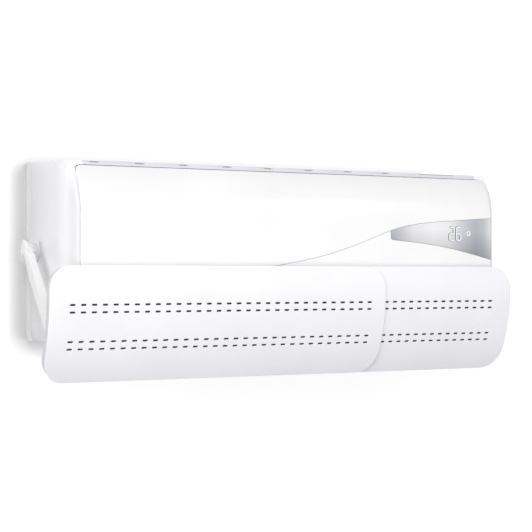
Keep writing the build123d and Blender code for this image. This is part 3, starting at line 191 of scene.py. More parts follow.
def clear_plastic():
    """Clear plastic: mostly lets light straight through, with glossy edges and a faint grain."""
    mat, tree, shader = finish("clear_plastic")
    shader.inputs["Base Color"].default_value = (0.93, 0.94, 0.95, 1)
    shader.inputs["Roughness"].default_value = 0.08
    shader.inputs["Specular IOR Level"].default_value = 0.6
    add = tree.nodes.new
    place = add("ShaderNodeTexCoord")
    fine = add("ShaderNodeTexNoise")
    fine.inputs["Scale"].default_value = 300.0
    tree.links.new(place.outputs["Object"], fine.inputs["Vector"])
    edge = add("ShaderNodeLayerWeight")
    edge.inputs["Blend"].default_value = 0.25
    cloud = span_of(tree, fine.outputs["Fac"], 0.0, 1.0, 0.02, 0.06)
    both = add("ShaderNodeMath")
    both.operation = "MULTIPLY_ADD"
    tree.links.new(edge.outputs["Facing"], both.inputs[0])
    both.inputs[1].default_value = 0.36
    tree.links.new(cloud, both.inputs[2])
    tree.links.new(both.outputs[0], shader.inputs["Alpha"])
    return mat


CLEAR = clear_plastic()


def metal(name, colour, rough, scale=120.0, stretch=(1, 1, 1), depth=0.00003, spangle=False):
    """Bare metal: tone and roughness follow a stretched noise, or the cells of a zinc coat."""
    mat, tree, shader = finish(name)
    add = tree.nodes.new
    join = tree.links.new
    place = add("ShaderNodeTexCoord")
    fit = add("ShaderNodeMapping")
    fit.inputs["Scale"].default_value = stretch
    join(place.outputs["Object"], fit.inputs["Vector"])
    grain = add("ShaderNodeTexVoronoi" if spangle else "ShaderNodeTexNoise")
    grain.inputs["Scale"].default_value = scale
    join(fit.outputs["Vector"], grain.inputs["Vector"])
    value = span_of(tree, grain.outputs["Distance" if spangle else "Fac"], 0.2, 0.8)
    darkest = 0.93 if spangle else 0.82
    join(ramp(tree, value, [(0, [c * darkest for c in colour]), (1, colour)]), shader.inputs["Base Color"])
    join(span_of(tree, value, 0, 1, rough * 0.8, rough * 1.2), shader.inputs["Roughness"])
    bumped(tree, shader, value, 0.05 if spangle else 0.3, depth)
    shader.inputs["Metallic"].default_value = 1.0
    return mat


def lined(name, dark, light, pitches, rough, metallic=0.0, depth=0.0003):
    """Fine parallel lines along each axis with a pitch in mm: fin edges, or the two ways of a net."""
    mat, tree, shader = finish(name)
    add = tree.nodes.new
    join = tree.links.new
    place = add("ShaderNodeTexCoord")
    axes = add("ShaderNodeSeparateXYZ")
    join(place.outputs["Object"], axes.inputs[0])
    total = None
    for axis, pitch in zip("XYZ", pitches):
        if not pitch:
            continue
        turn = add("ShaderNodeMath")
        turn.operation = "MULTIPLY"
        turn.inputs[1].default_value = 2 * math.pi / (pitch * MM)
        join(axes.outputs[axis], turn.inputs[0])
        wave = add("ShaderNodeMath")
        wave.operation = "SINE"
        join(turn.outputs[0], wave.inputs[0])
        if total is None:
            total = wave.outputs[0]
        else:
            most = add("ShaderNodeMath")
            most.operation = "MAXIMUM"
            join(total, most.inputs[0])
            join(wave.outputs[0], most.inputs[1])
            total = most.outputs[0]
    value = span_of(tree, total, -0.6, 0.9)
    join(ramp(tree, value, [(0, dark), (1, light)]), shader.inputs["Base Color"])
    bumped(tree, shader, value, 0.5, depth)
    shader.inputs["Roughness"].default_value = rough
    shader.inputs["Metallic"].default_value = metallic
    return mat


def circuit_board():
    """Green lacquer over copper runs: blocks of a stepped noise stand for tracks and parts' outlines."""
    mat, tree, shader = finish("circuit_board")
    add = tree.nodes.new
    join = tree.links.new
    place = add("ShaderNodeTexCoord")
    steps = add("ShaderNodeTexVoronoi")
    steps.distance = "CHEBYCHEV"
    steps.inputs["Scale"].default_value = 220.0
    join(place.outputs["Object"], steps.inputs["Vector"])
    value = span_of(tree, steps.outputs["Distance"], 0.25, 0.5)
    lacquer, track = (0.03, 0.16, 0.07), (0.05, 0.24, 0.11)
    outline, solder = (0.16, 0.34, 0.16), (0.5, 0.45, 0.3)
    colours = [(0.0, lacquer), (0.55, track), (0.8, outline), (1.0, solder)]
    join(ramp(tree, value, colours), shader.inputs["Base Color"])
    join(span_of(tree, value, 0, 1, 0.25, 0.45), shader.inputs["Roughness"])
    return mat


def beaded_foam():
    """Moulded bead foam: pale cells with slightly darker joints."""
    mat, tree, shader = finish("beaded_foam")
    add = tree.nodes.new
    join = tree.links.new
    place = add("ShaderNodeTexCoord")
    beads = add("ShaderNodeTexVoronoi")
    beads.inputs["Scale"].default_value = 320.0
    join(place.outputs["Object"], beads.inputs["Vector"])
    value = span_of(tree, beads.outputs["Distance"], 0.1, 0.7, 1, 0)
    join(ramp(tree, value, [(0, (0.72, 0.72, 0.71)), (1, (0.86, 0.86, 0.85))]), shader.inputs["Base Color"])
    bumped(tree, shader, value, 0.6, 0.0004)
    shader.inputs["Roughness"].default_value = 0.85
    return mat


# Painted shade: a near-black lined sheet that stands for the shade seen through the deflector's slots.
SLOT_SHADE_SHEET = lined("slot_shade_sheets", (0.008, 0.008, 0.01), (0.035, 0.035, 0.04), (0.9, 0, 0.9), 0.8)
DARK = moulded("black_plastic", (0.035, 0.035, 0.04), 0.45, vary=0.15)
FINISHES = {
    "casing_white": CASING,
    "panel_white": PANEL,
    "deflector_white": DEFLECTOR,
    "arm_white": ARM,
    "clear_plastic": CLEAR,
    "adhesive": moulded("foam_tape", (0.80, 0.80, 0.82), 0.7, grain=2500, depth=0.0002),
    "lens": LENS,
    "dark_plastic": DARK,
    "grey_plastic": moulded("grey_plastic", (0.20, 0.205, 0.22), 0.5, vary=0.06),
    "mesh": lined("filter_net", (0.05, 0.055, 0.06), (0.30, 0.32, 0.35), (1.5, 0, 1.5), 0.7),
    "aluminium_fins": lined("fin_stock", (0.18, 0.19, 0.20), (0.80, 0.82, 0.84), (1.4, 0, 0), 0.35, 1.0),
    "copper": metal("drawn_copper", (0.80, 0.42, 0.27), 0.28, 400, (0.05, 1, 1)),
    "brass_nut": metal("turned_brass", (0.78, 0.60, 0.30), 0.3, 900, (1, 0.05, 1)),
    "zinc_steel": metal("zinc_coated_sheet", (0.62, 0.64, 0.66), 0.4, 90, spangle=True),
    "motor_shell": metal("coated_motor_shell", (0.34, 0.35, 0.37), 0.45, 500),
    "board_green": circuit_board(),
    "foam_white": beaded_foam(),
    "rubber_black": moulded("moulded_rubber", (0.02, 0.02, 0.02), 0.75, grain=1500, depth=0.0001, vary=0.2),
}
for part in frame["record"]["subparts"]:
    mesh = NODES[part["node"]].data
    mesh.materials.clear()
    mesh.materials.append(FINISHES[part["material_slot"]])


# ---- mesh tools ----
def put(name, points, faces, material, body="unit"):
    """Mesh from corners in mm as (x, depth, height) and faces; doubles merged, faces outwards."""
    spots = np.asarray(points, float).reshape(-1, 3)
    world = np.stack([spots[:, 0], -spots[:, 1], spots[:, 2]], axis=1) * MM
    world[:, 2] += BOTTOM
    mesh = bpy.data.meshes.new(name)
    mesh.from_pydata(world.tolist(), [], [tuple(face) for face in faces])
    work = bmesh.new()
    work.from_mesh(mesh)
    bmesh.ops.remove_doubles(work, verts=work.verts, dist=MERGE)
    bmesh.ops.dissolve_degenerate(work, edges=work.edges, dist=MERGE)
    bmesh.ops.recalc_face_normals(work, faces=work.faces)
    work.to_mesh(mesh)
    work.free()
    mesh.materials.append(material)
    piece = bpy.data.objects.new(name, mesh)
    bpy.context.scene.collection.objects.link(piece)
    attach(piece, body)
    return piece


def cells(rows, columns, start=0):
    """Corner numbers of each cell of a grid, as an array of shape (rows - 1, columns - 1, 4)."""
    index = start + np.arange(rows * columns).reshape(rows, columns)
    return np.stack([index[:-1, :-1], index[:-1, 1:], index[1:, 1:], index[1:, :-1]], axis=-1)


def sheet(name, grid, material, body="unit", keep=None):
    """Surface through a grid of points, with only the kept cells."""
    quads = cells(*grid.shape[:2])
    quads = quads[keep] if keep is not None else quads.reshape(-1, 4)
    return put(name, grid, quads.tolist(), material, body)


def walled(piece, thick, round_off=0.0, steps=2):
    """Gives an open surface a wall behind it, mm, and a small round on its edges, then settles the mesh."""
    wall = piece.modifiers.new("wall", "SOLIDIFY")
    wall.thickness = thick * MM
    wall.offset = -1.0
    if round_off:
        soften(piece, round_off, steps)
    return settle(piece)


def soften(piece, round_off, steps=2, angle=38):
    """Round of a radius in mm on edges sharper than an angle in degrees."""
    bevel = piece.modifiers.new("round", "BEVEL")
    bevel.width = round_off * MM
    bevel.segments = steps
    bevel.limit_method = "ANGLE"
    bevel.angle_limit = math.radians(angle)
    bevel.use_clamp_overlap = True


def baked(piece):
    """Swaps the piece's mesh for the one that its modifiers make."""
    shown = piece.evaluated_get(bpy.context.evaluated_depsgraph_get())
    made = bpy.data.meshes.new_from_object(shown)
    piece.modifiers.clear()
    piece.data = made
    return made


def settle(piece, even=False):
    """Applies the modifiers and keeps sharp edges crisp; even leaves flat faces flat in tone."""
    made = baked(piece)
    made.shade_smooth()
    made.set_sharp_from_angle(angle=math.radians(SHARP_ANGLE))
    if even:
        weigh = piece.modifiers.new("even", "WEIGHTED_NORMAL")
        weigh.keep_sharp = True
        baked(piece)
    return piece


def prism(name, outline, left, right, material, body, round_off=1.0, steps=3, angle=30):
    """Solid with a (depth, height) outline carried from left to right, its edges rounded."""
    outline = np.asarray(outline, float)
    count = len(outline)
    ends = np.stack([np.column_stack([np.full(count, x), outline]) for x in (left, right)])
    quads = cells(2, count + 1)[0] % count + np.array([0, 0, count, count])
    faces = quads.tolist() + [list(range(count)), list(range(count, 2 * count))]
    piece = put(name, ends, faces, material, body)
    soften(piece, round_off, steps, angle)
    return settle(piece, even=True)


# ---- form of the unit ----
HALF = 403.0
HEIGHT = 292.0
ROOF_SLOPE = 0.0375           # the top face falls towards the room by this share
DEPTH = 205.0
FRAME = 203.8                 # depth of the frame's front, the panels stand proud of it
SEAM = 22.4                   # depth where the front casing starts
LOW_R, TOP_R, TOP_START = 95.0, 110.0, 205.0
PANEL_LOW, PANEL_TOP, PANEL_HALF = 67.0, 278.5, 390.0
CORNER_IN, CORNER_BACK = 13.0, 47.0
CORNER_PULL = 0.45            # share of the end corner that each handle of its curve takes
CORNER_ROUND = 10.0           # upper corners of the front panel and of its opening
BROW_IN, BROW_TALL = 7.0, 42.0          # softening of the upper end corners: inset and reach down
BROW_START, BROW_RUN = 105.0, 60.0      # depth where it starts and the run over which it comes in
HUB_HEIGHT = 145.0            # the arms' pivot, and the middle of each end
EDGE_TALL, EDGE_IN = 13.0, 3.0
GAP = 0.4
DUCT_LEFT, DUCT_RIGHT = -345.0, 235.0
TOP_OPENING = (30.0, 166.0, 386.0)
TOP_GAP = 0.8                 # wider seam above the front panel
LIP_EDGE = 173.64             # depth of the lip's top edge
LIP_TOP, LIP_CENTRE, LIP_ROUND = 285.49, 284.3, 1.2    # its height, and the centre and radius of its round
LIP_HALF = 375.0              # the painted shade on the lip ends just inside this
LIP_SHADE_TOP, LIP_SHADE_START = 285.2, 170.5        # height and depth where that painted shade ends
UPPER_END = 41.93             # the upper round ends at the lip, degrees
MOUTH_TOP, MOUTH_END = -17.14, -77.0    # the outlet on the lower round, degrees
FRONT_ZONE = 150.0            # the panels' opening is cut only in front of this depth
NOTCH_FIRST, NOTCH_PITCH, NOTCH_HALF, NOTCH_LOW = -355.0, 77.4, 8.0, 281.98
RECESS_LENGTH, RECESS_LOW = 76.0, 283.18


def front_depth(height, front):
    """Depth of the curved front: round below 95 mm, straight, then round again above 205 mm."""
    low = np.clip(LOW_R - height, 0, LOW_R)
    top = np.clip(height - TOP_START, 0, TOP_R)
    return front - LOW_R + np.sqrt(LOW_R ** 2 - low ** 2) - TOP_R + np.sqrt(TOP_R ** 2 - top ** 2)


def side_inset(depth, height):
    """How far the side has turned in, mm: a Bezier corner towards the front, a bevel at top and bottom."""
    t = np.linspace(0, 1, 400)
    back = CORNER_BACK * (1 - t) ** 3 + 3 * CORNER_PULL * CORNER_BACK * (1 - t) ** 2 * t
    inset = 3 * CORNER_PULL * CORNER_IN * (1 - t) * t ** 2 + CORNER_IN * t ** 3
    corner = np.interp(FRAME - depth, back[::-1], inset[::-1])
    roof = HEIGHT - ROOF_SLOPE * depth
    edge = np.minimum(height, roof - height)
    bevel = EDGE_IN * np.clip(1 - edge / EDGE_TALL, 0, 1)
    curve = TOP_START + np.sqrt(np.clip(TOP_R ** 2 - (depth - FRAME + TOP_R) ** 2, 0, None))
    brow = np.where(depth > LIP_EDGE, curve, roof)
    down = np.clip(1 - (brow - height) / BROW_TALL, 0, 1)
    soft = BROW_IN * down ** 2 * np.clip((depth - BROW_START) / BROW_RUN, 0, 1) ** 1.5
    return (corner ** 3 + bevel ** 3 + soft ** 3) ** (1 / 3)


def notch_edges():
    """x limits of the small notches in the lip above the front panel, and of the long recess after them."""
    centres = NOTCH_FIRST + NOTCH_PITCH * np.arange(8)
    recess = centres[-1] + NOTCH_PITCH - NOTCH_HALF
    return centres - NOTCH_HALF, centres + NOTCH_HALF, recess, recess + RECESS_LENGTH


def casing_section():
    """(depth, height) points of the front casing from the top seam round the front to the bottom seam."""
    depths = np.array([SEAM, 26, 30, 64, 98, 132, 166, 169, 171, 172.2])
    top = np.column_stack([depths, HEIGHT - ROOF_SLOPE * depths])
    turn = np.radians([20, 45, 70])
    edge_depth = LIP_EDGE - LIP_ROUND + LIP_ROUND * np.sin(turn)
    edge = np.column_stack([edge_depth, LIP_CENTRE + LIP_ROUND * np.cos(turn)])
    lip_heights = np.array([RECESS_LOW + 0.6, RECESS_LOW, NOTCH_LOW, 280.4, PANEL_TOP])
    lip = np.column_stack([LIP_EDGE + 2 * (LIP_TOP - lip_heights) / (LIP_TOP - PANEL_TOP), lip_heights])
    angles = np.radians(np.linspace(UPPER_END, 0, 15)[1:])
    upper = np.column_stack([FRAME - TOP_R + TOP_R * np.cos(angles), TOP_START + TOP_R * np.sin(angles)])
    middle = np.column_stack([np.full(5, FRAME), np.linspace(TOP_START, LOW_R, 6)[1:]])
    mouth = np.linspace(MOUTH_TOP, MOUTH_END, 16)
    angles = np.radians(np.concatenate([[-6, -12], mouth, [-81, -85.5, -90]]))
    lower = np.column_stack([FRAME - LOW_R + LOW_R * np.cos(angles), LOW_R + LOW_R * np.sin(angles)])
    bottom = np.column_stack([[96, 80, 60, 40, 30, SEAM], np.zeros(6)])
    return np.vstack([top, edge, lip, upper, middle, lower, bottom])


def casing_grid(section, hub, inner_x):
    """Casing surface: the section carried along X, rounded at each end and drawn in to the hub."""
    reach = hub - section
    length = np.linalg.norm(reach, axis=1)
    heading = reach / length[:, None]
    slope = np.gradient(section, axis=0)
    level = np.abs(slope[:, 0]) / np.linalg.norm(slope, axis=1)
    edge_round = 2.2 * level
    turn = np.radians(np.arange(0, 91, 15))
    shares = (np.arange(1, 19) / 18) ** 2.2
    columns = []
    end = HALF - side_inset(section[:, 0], section[:, 1])
    straight = end - edge_round
    for share in (1 / 3, 2 / 3):
        x = PANEL_HALF + (straight - PANEL_HALF) * share
        columns.append(np.column_stack([x, section]))
    for angle in turn:
        inset = edge_round * (1 - np.cos(angle))
        spot = section + heading * inset[:, None]
        x = HALF - side_inset(spot[:, 0], spot[:, 1]) - edge_round * (1 - np.sin(angle))
        columns.append(np.column_stack([x, spot]))
    for share in shares:
        inset = edge_round + (length - edge_round) * share
        spot = section + heading * inset[:, None]
        columns.append(np.column_stack([HALF - side_inset(spot[:, 0], spot[:, 1]), spot]))
    right = np.stack(columns, axis=1)
    left = right[:, ::-1] * np.array([-1, 1, 1])
    inner = np.empty((len(section), len(inner_x), 3))
    inner[..., 0] = inner_x
    inner[..., 1:] = section[:, None]
    return np.concatenate([left, inner, right], axis=1)


def front_casing():
    """Front casing with its openings for the top grille, intake pockets, panels and outlet."""
    lefts, rights, recess_left, recess_right = notch_edges()
    lines = [DUCT_LEFT, DUCT_RIGHT, recess_left, recess_right]
    for half in (PANEL_HALF, TOP_OPENING[2], LIP_HALF):
        lines += [-half, half]
    inner_x = np.unique(np.round(np.concatenate([lefts, rights, lines]), 3))
    section = casing_section()
    grid = casing_grid(section, np.array([SEAM, HUB_HEIGHT]), inner_x)
    middle = (grid[:-1, :-1] + grid[1:, 1:]) / 2
    x, depth, height = middle[..., 0], middle[..., 1], middle[..., 2]
    on_top = height > HEIGHT - ROOF_SLOPE * depth - 0.1
    opening = on_top & (depth > TOP_OPENING[0]) & (depth < TOP_OPENING[1]) & (np.abs(x) < TOP_OPENING[2])
    in_notch = ((x[..., None] > lefts) & (x[..., None] < rights)).any(axis=-1)
    opening |= in_notch & (height > NOTCH_LOW) & (depth > TOP_OPENING[1])
    opening |= (x > recess_left) & (x < recess_right) & (height > RECESS_LOW) & (depth > TOP_OPENING[1])
    opening |= (np.abs(x) < PANEL_HALF) & (height > PANEL_LOW) & (height < PANEL_TOP) & (depth > FRONT_ZONE)
    angle = np.degrees(np.arctan2(height - LOW_R, depth - FRAME + LOW_R))
    in_mouth = (angle < MOUTH_TOP) & (angle > MOUTH_END) & (height < PANEL_LOW + 0.5)
    opening |= (x > DUCT_LEFT) & (x < DUCT_RIGHT) & in_mouth
    piece = sheet("front_casing_shell", grid, CASING, keep=~opening)
    walled(piece, 2.6, 0.45)
    # Painted shade: the lip's faces get the greyer second material.
    piece.data.materials.append(LIP)
    for face in piece.data.polygons:
        x, y, z = face.center / MM
        low = z - BOTTOM / MM
        on_lip = PANEL_TOP - 1 < low < LIP_SHADE_TOP and -y > LIP_SHADE_START
        face.material_index = int(abs(x) < LIP_HALF - 1 and on_lip)
    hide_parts("front_casing")


front_casing()


def frame_corners():
    """Upper corners of the frame's opening: the strip between a quarter circle and the square corner."""
    radius = CORNER_ROUND
    lap = 0.6
    turn = np.radians(np.linspace(0, 90, 10))
    for side in (-1, 1):
        arc_x = PANEL_HALF - radius + radius * np.sin(turn)
        arc_height = PANEL_TOP - radius + radius * np.cos(turn)
        reach = 1 / np.maximum(np.sin(turn), np.cos(turn))
        out_x = PANEL_HALF - radius + (radius + lap) * np.sin(turn) * reach
        out_height = PANEL_TOP - radius + (radius + lap) * np.cos(turn) * reach
        height = np.stack([arc_height, out_height])
        grid = np.stack([side * np.stack([arc_x, out_x]), front_depth(height, FRAME), height], axis=-1)
        piece = sheet("frame_corner_left" if side < 0 else "frame_corner_right", grid, CASING)
        walled(piece, 2.0, 0.2)


def notch_liners():
    """Grey backs and floors behind the notches and the recess of the lip: painted shade, they stand for the
    shade inside them.
    """
    lefts, rights, recess_left, recess_right = notch_edges()
    places = list(zip(lefts, rights)) + [(recess_left, recess_right)]
    roof = HEIGHT - ROOF_SLOPE * TOP_OPENING[1]
    walls = {"back": (164.6, 165.6, 283.0, roof - 0.3), "floor": (165.8, 171.3, 279.2, 280.2)}
    for number, (left, right) in enumerate(places):
        for part, (near, far, low, high) in walls.items():
            outline = [(near, low), (far, low), (far, high), (near, high)]
            piece = prism(f"notch_{part}_{number + 1}", outline, left - 1.5, right + 1.5, SHADE, "unit",
                          0.15, 1)


def rear_beads():
    """Two slim upright beads on each end of the rear casing."""
    wide, low, high = 1.8, 6, HEIGHT - 8
    for side, word in ((-1, "left"), (1, "right")):
        ends = sorted((side * (HALF - 1), side * (HALF + 0.5)))
        for number, near in enumerate((7.2, 17.2)):
            outline = [(near, low), (near + wide, low), (near + wide, high), (near, high)]
            piece = prism(f"rear_bead_{word}_{number + 1}", outline, *ends, CASING, "unit", 0.4, 2)


frame_corners()
notch_liners()
rear_beads()


def along_front(low, high, count):
    """Heights that divide the front curve between two heights into equal lengths."""
    fine = np.linspace(PANEL_LOW - 1, PANEL_TOP + 1, 800)
    path = np.column_stack([front_depth(fine, DEPTH), fine])
    length = np.concatenate([[0], np.cumsum(np.linalg.norm(np.diff(path, axis=0), axis=1))])
    start, end = np.interp(low, fine, length), np.interp(high, fine, length)
    share = np.linspace(0, 1, count)[:, None]
    return np.interp(start + (end - start) * share, length, fine)


# (x, height) of the swept seam between the two panels, and of the lens's lower edge.
SEAM_CURVE = np.array([(-395, 98), (-170, 104), (-50, 121.7), (36, 137.7), (135, 168), (181, 184.5),
                       (290, 201), (395, 208.4)])
LENS_CURVE = np.array([(171, 168.5), (191, 166.8), (290, 156), (395, 133.2)])
LENS_LEFT = 177.0
LENS_ROUND = 4.0


def through(points, x):
    """Smooth natural cubic curve through points: the second slopes solve a three-term linear system."""
    px, py = points.T
    n = len(px)
    step = np.diff(px)
    matrix = np.eye(n)
    right = np.zeros(n)
    for i in range(1, n - 1):
        matrix[i, i - 1:i + 2] = step[i - 1], 2 * (step[i - 1] + step[i]), step[i]
        right[i] = 6 * ((py[i + 1] - py[i]) / step[i] - (py[i] - py[i - 1]) / step[i - 1])
    bend = np.linalg.solve(matrix, right)
    k = np.clip(np.searchsorted(px, x) - 1, 0, n - 2)
    h, a, b = step[k], px[k + 1] - x, x - px[k]
    curve = (bend[k] * a ** 3 + bend[k + 1] * b ** 3) / (6 * h)
    return curve + (py[k] / h - bend[k] * h / 6) * a + (py[k + 1] / h - bend[k + 1] * h / 6) * b


def panel_grid(x, low, high, count, corner=0.0):
    """Curved skin over columns x between two height curves; its upper corners rounded."""
    heights = along_front(low, high, count)
    inset = 0.0
    if corner:
        rise = np.clip(heights - (PANEL_TOP - TOP_GAP - corner), 0, corner)
        inset = corner - np.sqrt(corner ** 2 - rise ** 2)
    edge = PANEL_HALF - GAP
    wide = x * (1 - inset / edge) * np.ones_like(heights)
    return np.stack([wide, front_depth(heights, DEPTH), heights], axis=-1)


def lens_round(x, start):
    """Rise of the lens's lower edge over its rounded lower left corner, a quarter circle from start."""
    reach = np.clip((start + LENS_ROUND - x) / LENS_ROUND, 0, 1)
    return LENS_ROUND * (1 - np.sqrt(1 - reach ** 2))


def front_panels():
    """Upper panel, lower panel and lens share one curved skin and meet on the swept seam."""
    edge = PANEL_HALF - GAP
    x = np.linspace(-edge, edge, 140)
    low = through(SEAM_CURVE, x) + GAP / 2
    heights_top = np.full_like(x, PANEL_TOP - TOP_GAP)
    grid = panel_grid(x, low, heights_top, 60, corner=CORNER_ROUND)
    panel = sheet("front_panel_skin", grid, PANEL)
    walled(panel, 3.0, 0.5, 3)
    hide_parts("front_panel")
    turn = LENS_LEFT + LENS_ROUND * (1 - np.cos(np.radians(np.linspace(0, 90, 6))))
    before, after = np.linspace(-edge, LENS_LEFT - 0.4, 110), np.linspace(turn[-1], edge, 42)
    x = np.unique(np.concatenate([before, turn, after]))
    high = through(SEAM_CURVE, x) - GAP / 2
    under = through(LENS_CURVE, np.clip(x, LENS_CURVE[0, 0], None)) - GAP / 2
    top = np.where(x < LENS_LEFT, high, under + lens_round(x, LENS_LEFT))
    grid = panel_grid(x, np.full_like(x, PANEL_LOW + GAP), top, 30)
    panel = sheet("lower_panel_skin", grid, PANEL)
    walled(panel, 3.0, 0.5, 3)
    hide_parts("lower_panel")


def display_lens():
    """Lens between the seam and its own lower curve, with a rounded tip."""
    edge = PANEL_HALF - GAP
    start = LENS_LEFT + GAP
    bow = 1 - np.cos(np.radians(np.linspace(0, 90, 7)))
    x = np.unique(np.concatenate([start + LENS_ROUND * bow, np.linspace(start + LENS_ROUND, edge, 90)]))
    high = through(SEAM_CURVE, x) - GAP / 2
    low = through(LENS_CURVE, x) + GAP / 2 + lens_round(x, start)
    grid = panel_grid(x, low, high, 22)
    lens = sheet("display_window", grid, LENS)
    walled(lens, 2.4, 0.25, 2)
    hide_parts("display_lens")


front_panels()
display_lens()


def ribbon(path, width):
    """Left and right edge points of a flat stroke of a width along a path, mitred at each turn."""
    path = np.asarray(path, float)
    ahead = np.diff(path, axis=0)
    ahead /= np.linalg.norm(ahead, axis=1)[:, None]
    loop = np.allclose(path[0], path[-1])
    before = np.vstack([ahead[-1] if loop else ahead[0], ahead])
    after = np.vstack([ahead, ahead[0] if loop else ahead[-1]])
    mean = before + after
    mean /= np.linalg.norm(mean, axis=1)[:, None]
    reach = width / 2 / np.clip((mean * after).sum(axis=1), 0.4, 1)
    side = np.column_stack([-mean[:, 1], mean[:, 0]]) * reach[:, None]
    return np.stack([path + side, path - side], axis=1)


def eased(corners, radius):
    """Path through corners with each inner corner swapped for a three-point round."""
    path = [np.asarray(corners[0], float)]
    for before, spot, after in zip(corners[:-2], corners[1:-1], corners[2:]):
        spot = np.asarray(spot, float)
        back = (np.asarray(before) - spot) / np.linalg.norm(np.asarray(before) - spot)
        on = (np.asarray(after) - spot) / np.linalg.norm(np.asarray(after) - spot)
        path += [spot + back * radius, spot + (back + on) * radius * 0.29, spot + on * radius]
    return np.array(path + [np.asarray(corners[-1], float)])


DIGIT_SPOTS = ((299.9, 168.4), (314.6, 168.4))    # lower left corners of the digits, (x, height)
RING_SPOT, RING_RADIUS, RING_STROKE = (340.3, 180.4), 3.4, 2.0


def display_marks():
    """Two seven-segment digits and a small ring printed on the lens; each digit has a painted shadow, a dark
    copy a little to its left.
    """
    wide, tall, stroke = 9.2, 22.6, 2.5
    two = [(1.2, tall), (wide, tall), (wide, tall / 2), (0, tall / 2), (0, 0), (wide - 0.6, 0)]
    six = [(wide - 1.2, tall), (0, tall), (0, 0), (wide, 0), (wide, tall / 2), (stroke / 2, tall / 2)]
    turn = np.radians(np.arange(0, 361, 20))
    ring = RING_RADIUS * np.column_stack([np.cos(turn), np.sin(turn)])
    marks = ((eased(two, 2.6), *DIGIT_SPOTS[0]), (eased(six, 2.6), *DIGIT_SPOTS[1]), (ring, *RING_SPOT))
    # The shade prints are a painted shadow lying under each mark.
    prints = (("shade", -1.3, 1.2, 0.03, MARK_SHADE), ("digit", 0, 0, 0.07, DIGIT))
    for label, shift, extra, proud, paint in prints:
        for number, (path, x0, low) in enumerate(marks):
            is_digit = number < len(DIGIT_SPOTS)
            edges = ribbon(path, (stroke if is_digit else RING_STROKE) + extra * is_digit)
            edges = edges + (x0 + shift * is_digit, low)
            depth = front_depth(edges[..., 1], DEPTH) + proud
            grid = np.stack([edges[..., 0], depth, edges[..., 1]], axis=-1)
            piece = sheet(f"display_{label}_{number + 1}", grid, paint)
            walled(piece, 0.02)


display_marks()


# ---- arms, knobs and pads ----
HUB = np.array([45.0, HUB_HEIGHT])
ARM_LENGTH, ARM_MIDDLE, ARM_THICK = 192.0, 23.0, 13.0
EYE_RADIUS = 12.0
ARM_SLOPE = math.radians(41.5)
BAR_WAY = np.array([math.sin(ARM_SLOPE), -math.cos(ARM_SLOPE)])
AHEAD = np.array([math.cos(ARM_SLOPE), math.sin(ARM_SLOPE)])
FOOT = HUB + ARM_LENGTH * BAR_WAY + ARM_MIDDLE * AHEAD


def disc(radius, centre, count=40, notches=0, depth=1.2):
    """Outline of a round; with notches its edge is scalloped by a cosine raised to a high power."""
    turn = np.linspace(0, 2 * math.pi, count, endpoint=False)
    reach = radius - (depth * np.clip(np.cos(notches * turn), 0, 1) ** 3 if notches else 0 * turn)
    return np.column_stack([centre[0] + reach * np.cos(turn), centre[1] + reach * np.sin(turn)])


def off_side(side, near, far):
    """x limits of a part that lies near..far mm off one side of the unit."""
    return sorted((side * (HALF + near), side * (HALF + far)))


def on_bar(spots):
    """(depth, height) of spots given as (along the bar from the hub, ahead of it)."""
    along, ahead = np.asarray(spots, float).T
    return HUB + along[:, None] * BAR_WAY + ahead[:, None] * AHEAD


def arm(side, gap, cranked):
    """Arm: tapered bar with raised head and sunk neck, an eye round the stud and a round foot.

    The left arm stands off the unit: there the eye is a clear spacer that reaches back to the pad.
    """
    word = "left" if side < 0 else "right"
    body = "arm_" + word
    low, high = off_side(side, gap, gap + ARM_THICK)
    bar = [(5, 18), (5, 36), (22.5, 36), (23.5, 30), (33, 30), (34, 33),
           (ARM_LENGTH, 33), (ARM_LENGTH, 13), (70, 13), (33, 20)]
    pieces = [prism("arm_bar_" + word, on_bar(bar), low, high, ARM, body, 1.4, 3)]
    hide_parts("arm_" + word)
    pieces.append(prism("arm_foot_" + word, disc(10, FOOT), low - 0.05, high + 0.05, ARM, body, 1.2, 3))
    if cranked:
        turn = np.radians(np.linspace(110, 330, 12))
        eye = np.column_stack([EYE_RADIUS * np.cos(turn), EYE_RADIUS * np.sin(turn)]).tolist()
        eye += [(30, 19), (30, 28), (6, 28)]
        ends = off_side(side, gap - 12.5, gap + 0.5)
        spacer = prism("arm_spacer_" + word, on_bar(eye), *ends, CLEAR, body, 1.0, 3)
    else:
        web = [(-6, 8), (5, 23), (22.5, 29), (33, 29), (33, 20), (10, -6)]
        pieces.append(prism("arm_web_" + word, on_bar(web), low + 0.6, high - 0.6, ARM, body, 1.0, 2))
        pieces.append(prism("arm_eye_" + word, disc(EYE_RADIUS, HUB), low, high, ARM, body, 1.0, 3))
    outer = gap + 0.5 if cranked else gap + ARM_THICK
    knob = prism("knob_" + word, disc(18.6, HUB, 144, 12), *off_side(side, outer + 0.3, outer + 3.8), CLEAR,
                 "knob_" + word, 0.8, 2)
    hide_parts("knob_" + word)
    pad = prism("pad_" + word, disc(20, HUB, 48), *off_side(side, 0.8, 3.3), PAD, "unit", 0.8, 2)
    stud = prism("stud_" + word, disc(5, HUB, 24), *off_side(side, 3.0, outer + 3.9), PAD, "unit", 0.5, 2)
    if side < 0:
        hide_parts("stud_pads")


arm(-1, 19.0, True)
arm(1, 3.8, False)


# ---- wind deflector ----
ARC_R = 255.0
SHEET_STEP = 3.8              # the right sheet runs this far inside the left one
ARC_CENTRE = (-28.0, 80.0)
DEF_LOW, DEF_HIGH = -58.0, 122.0
DEF_LENGTH = 600.0
DEF_CORNER = 36.0
DEF_LEFT = -448.0
RIGHT_LEFT = -182.0
SLOT_ROWS = (-6.0, 5.5, 50.5, 62.0)
SLOT_LENGTH, SLOT_TALL, SLOTS = 9.4, 3.2, 31
LEFT_SLOTS, RIGHT_SLOTS = (37.4, 17.7), (54.5, 16.74)    # first slot and pitch from the panel's left end
FLANGE = 12.0
STRAIGHT = 200.0              # columns this near to a sheet's middle stay straight


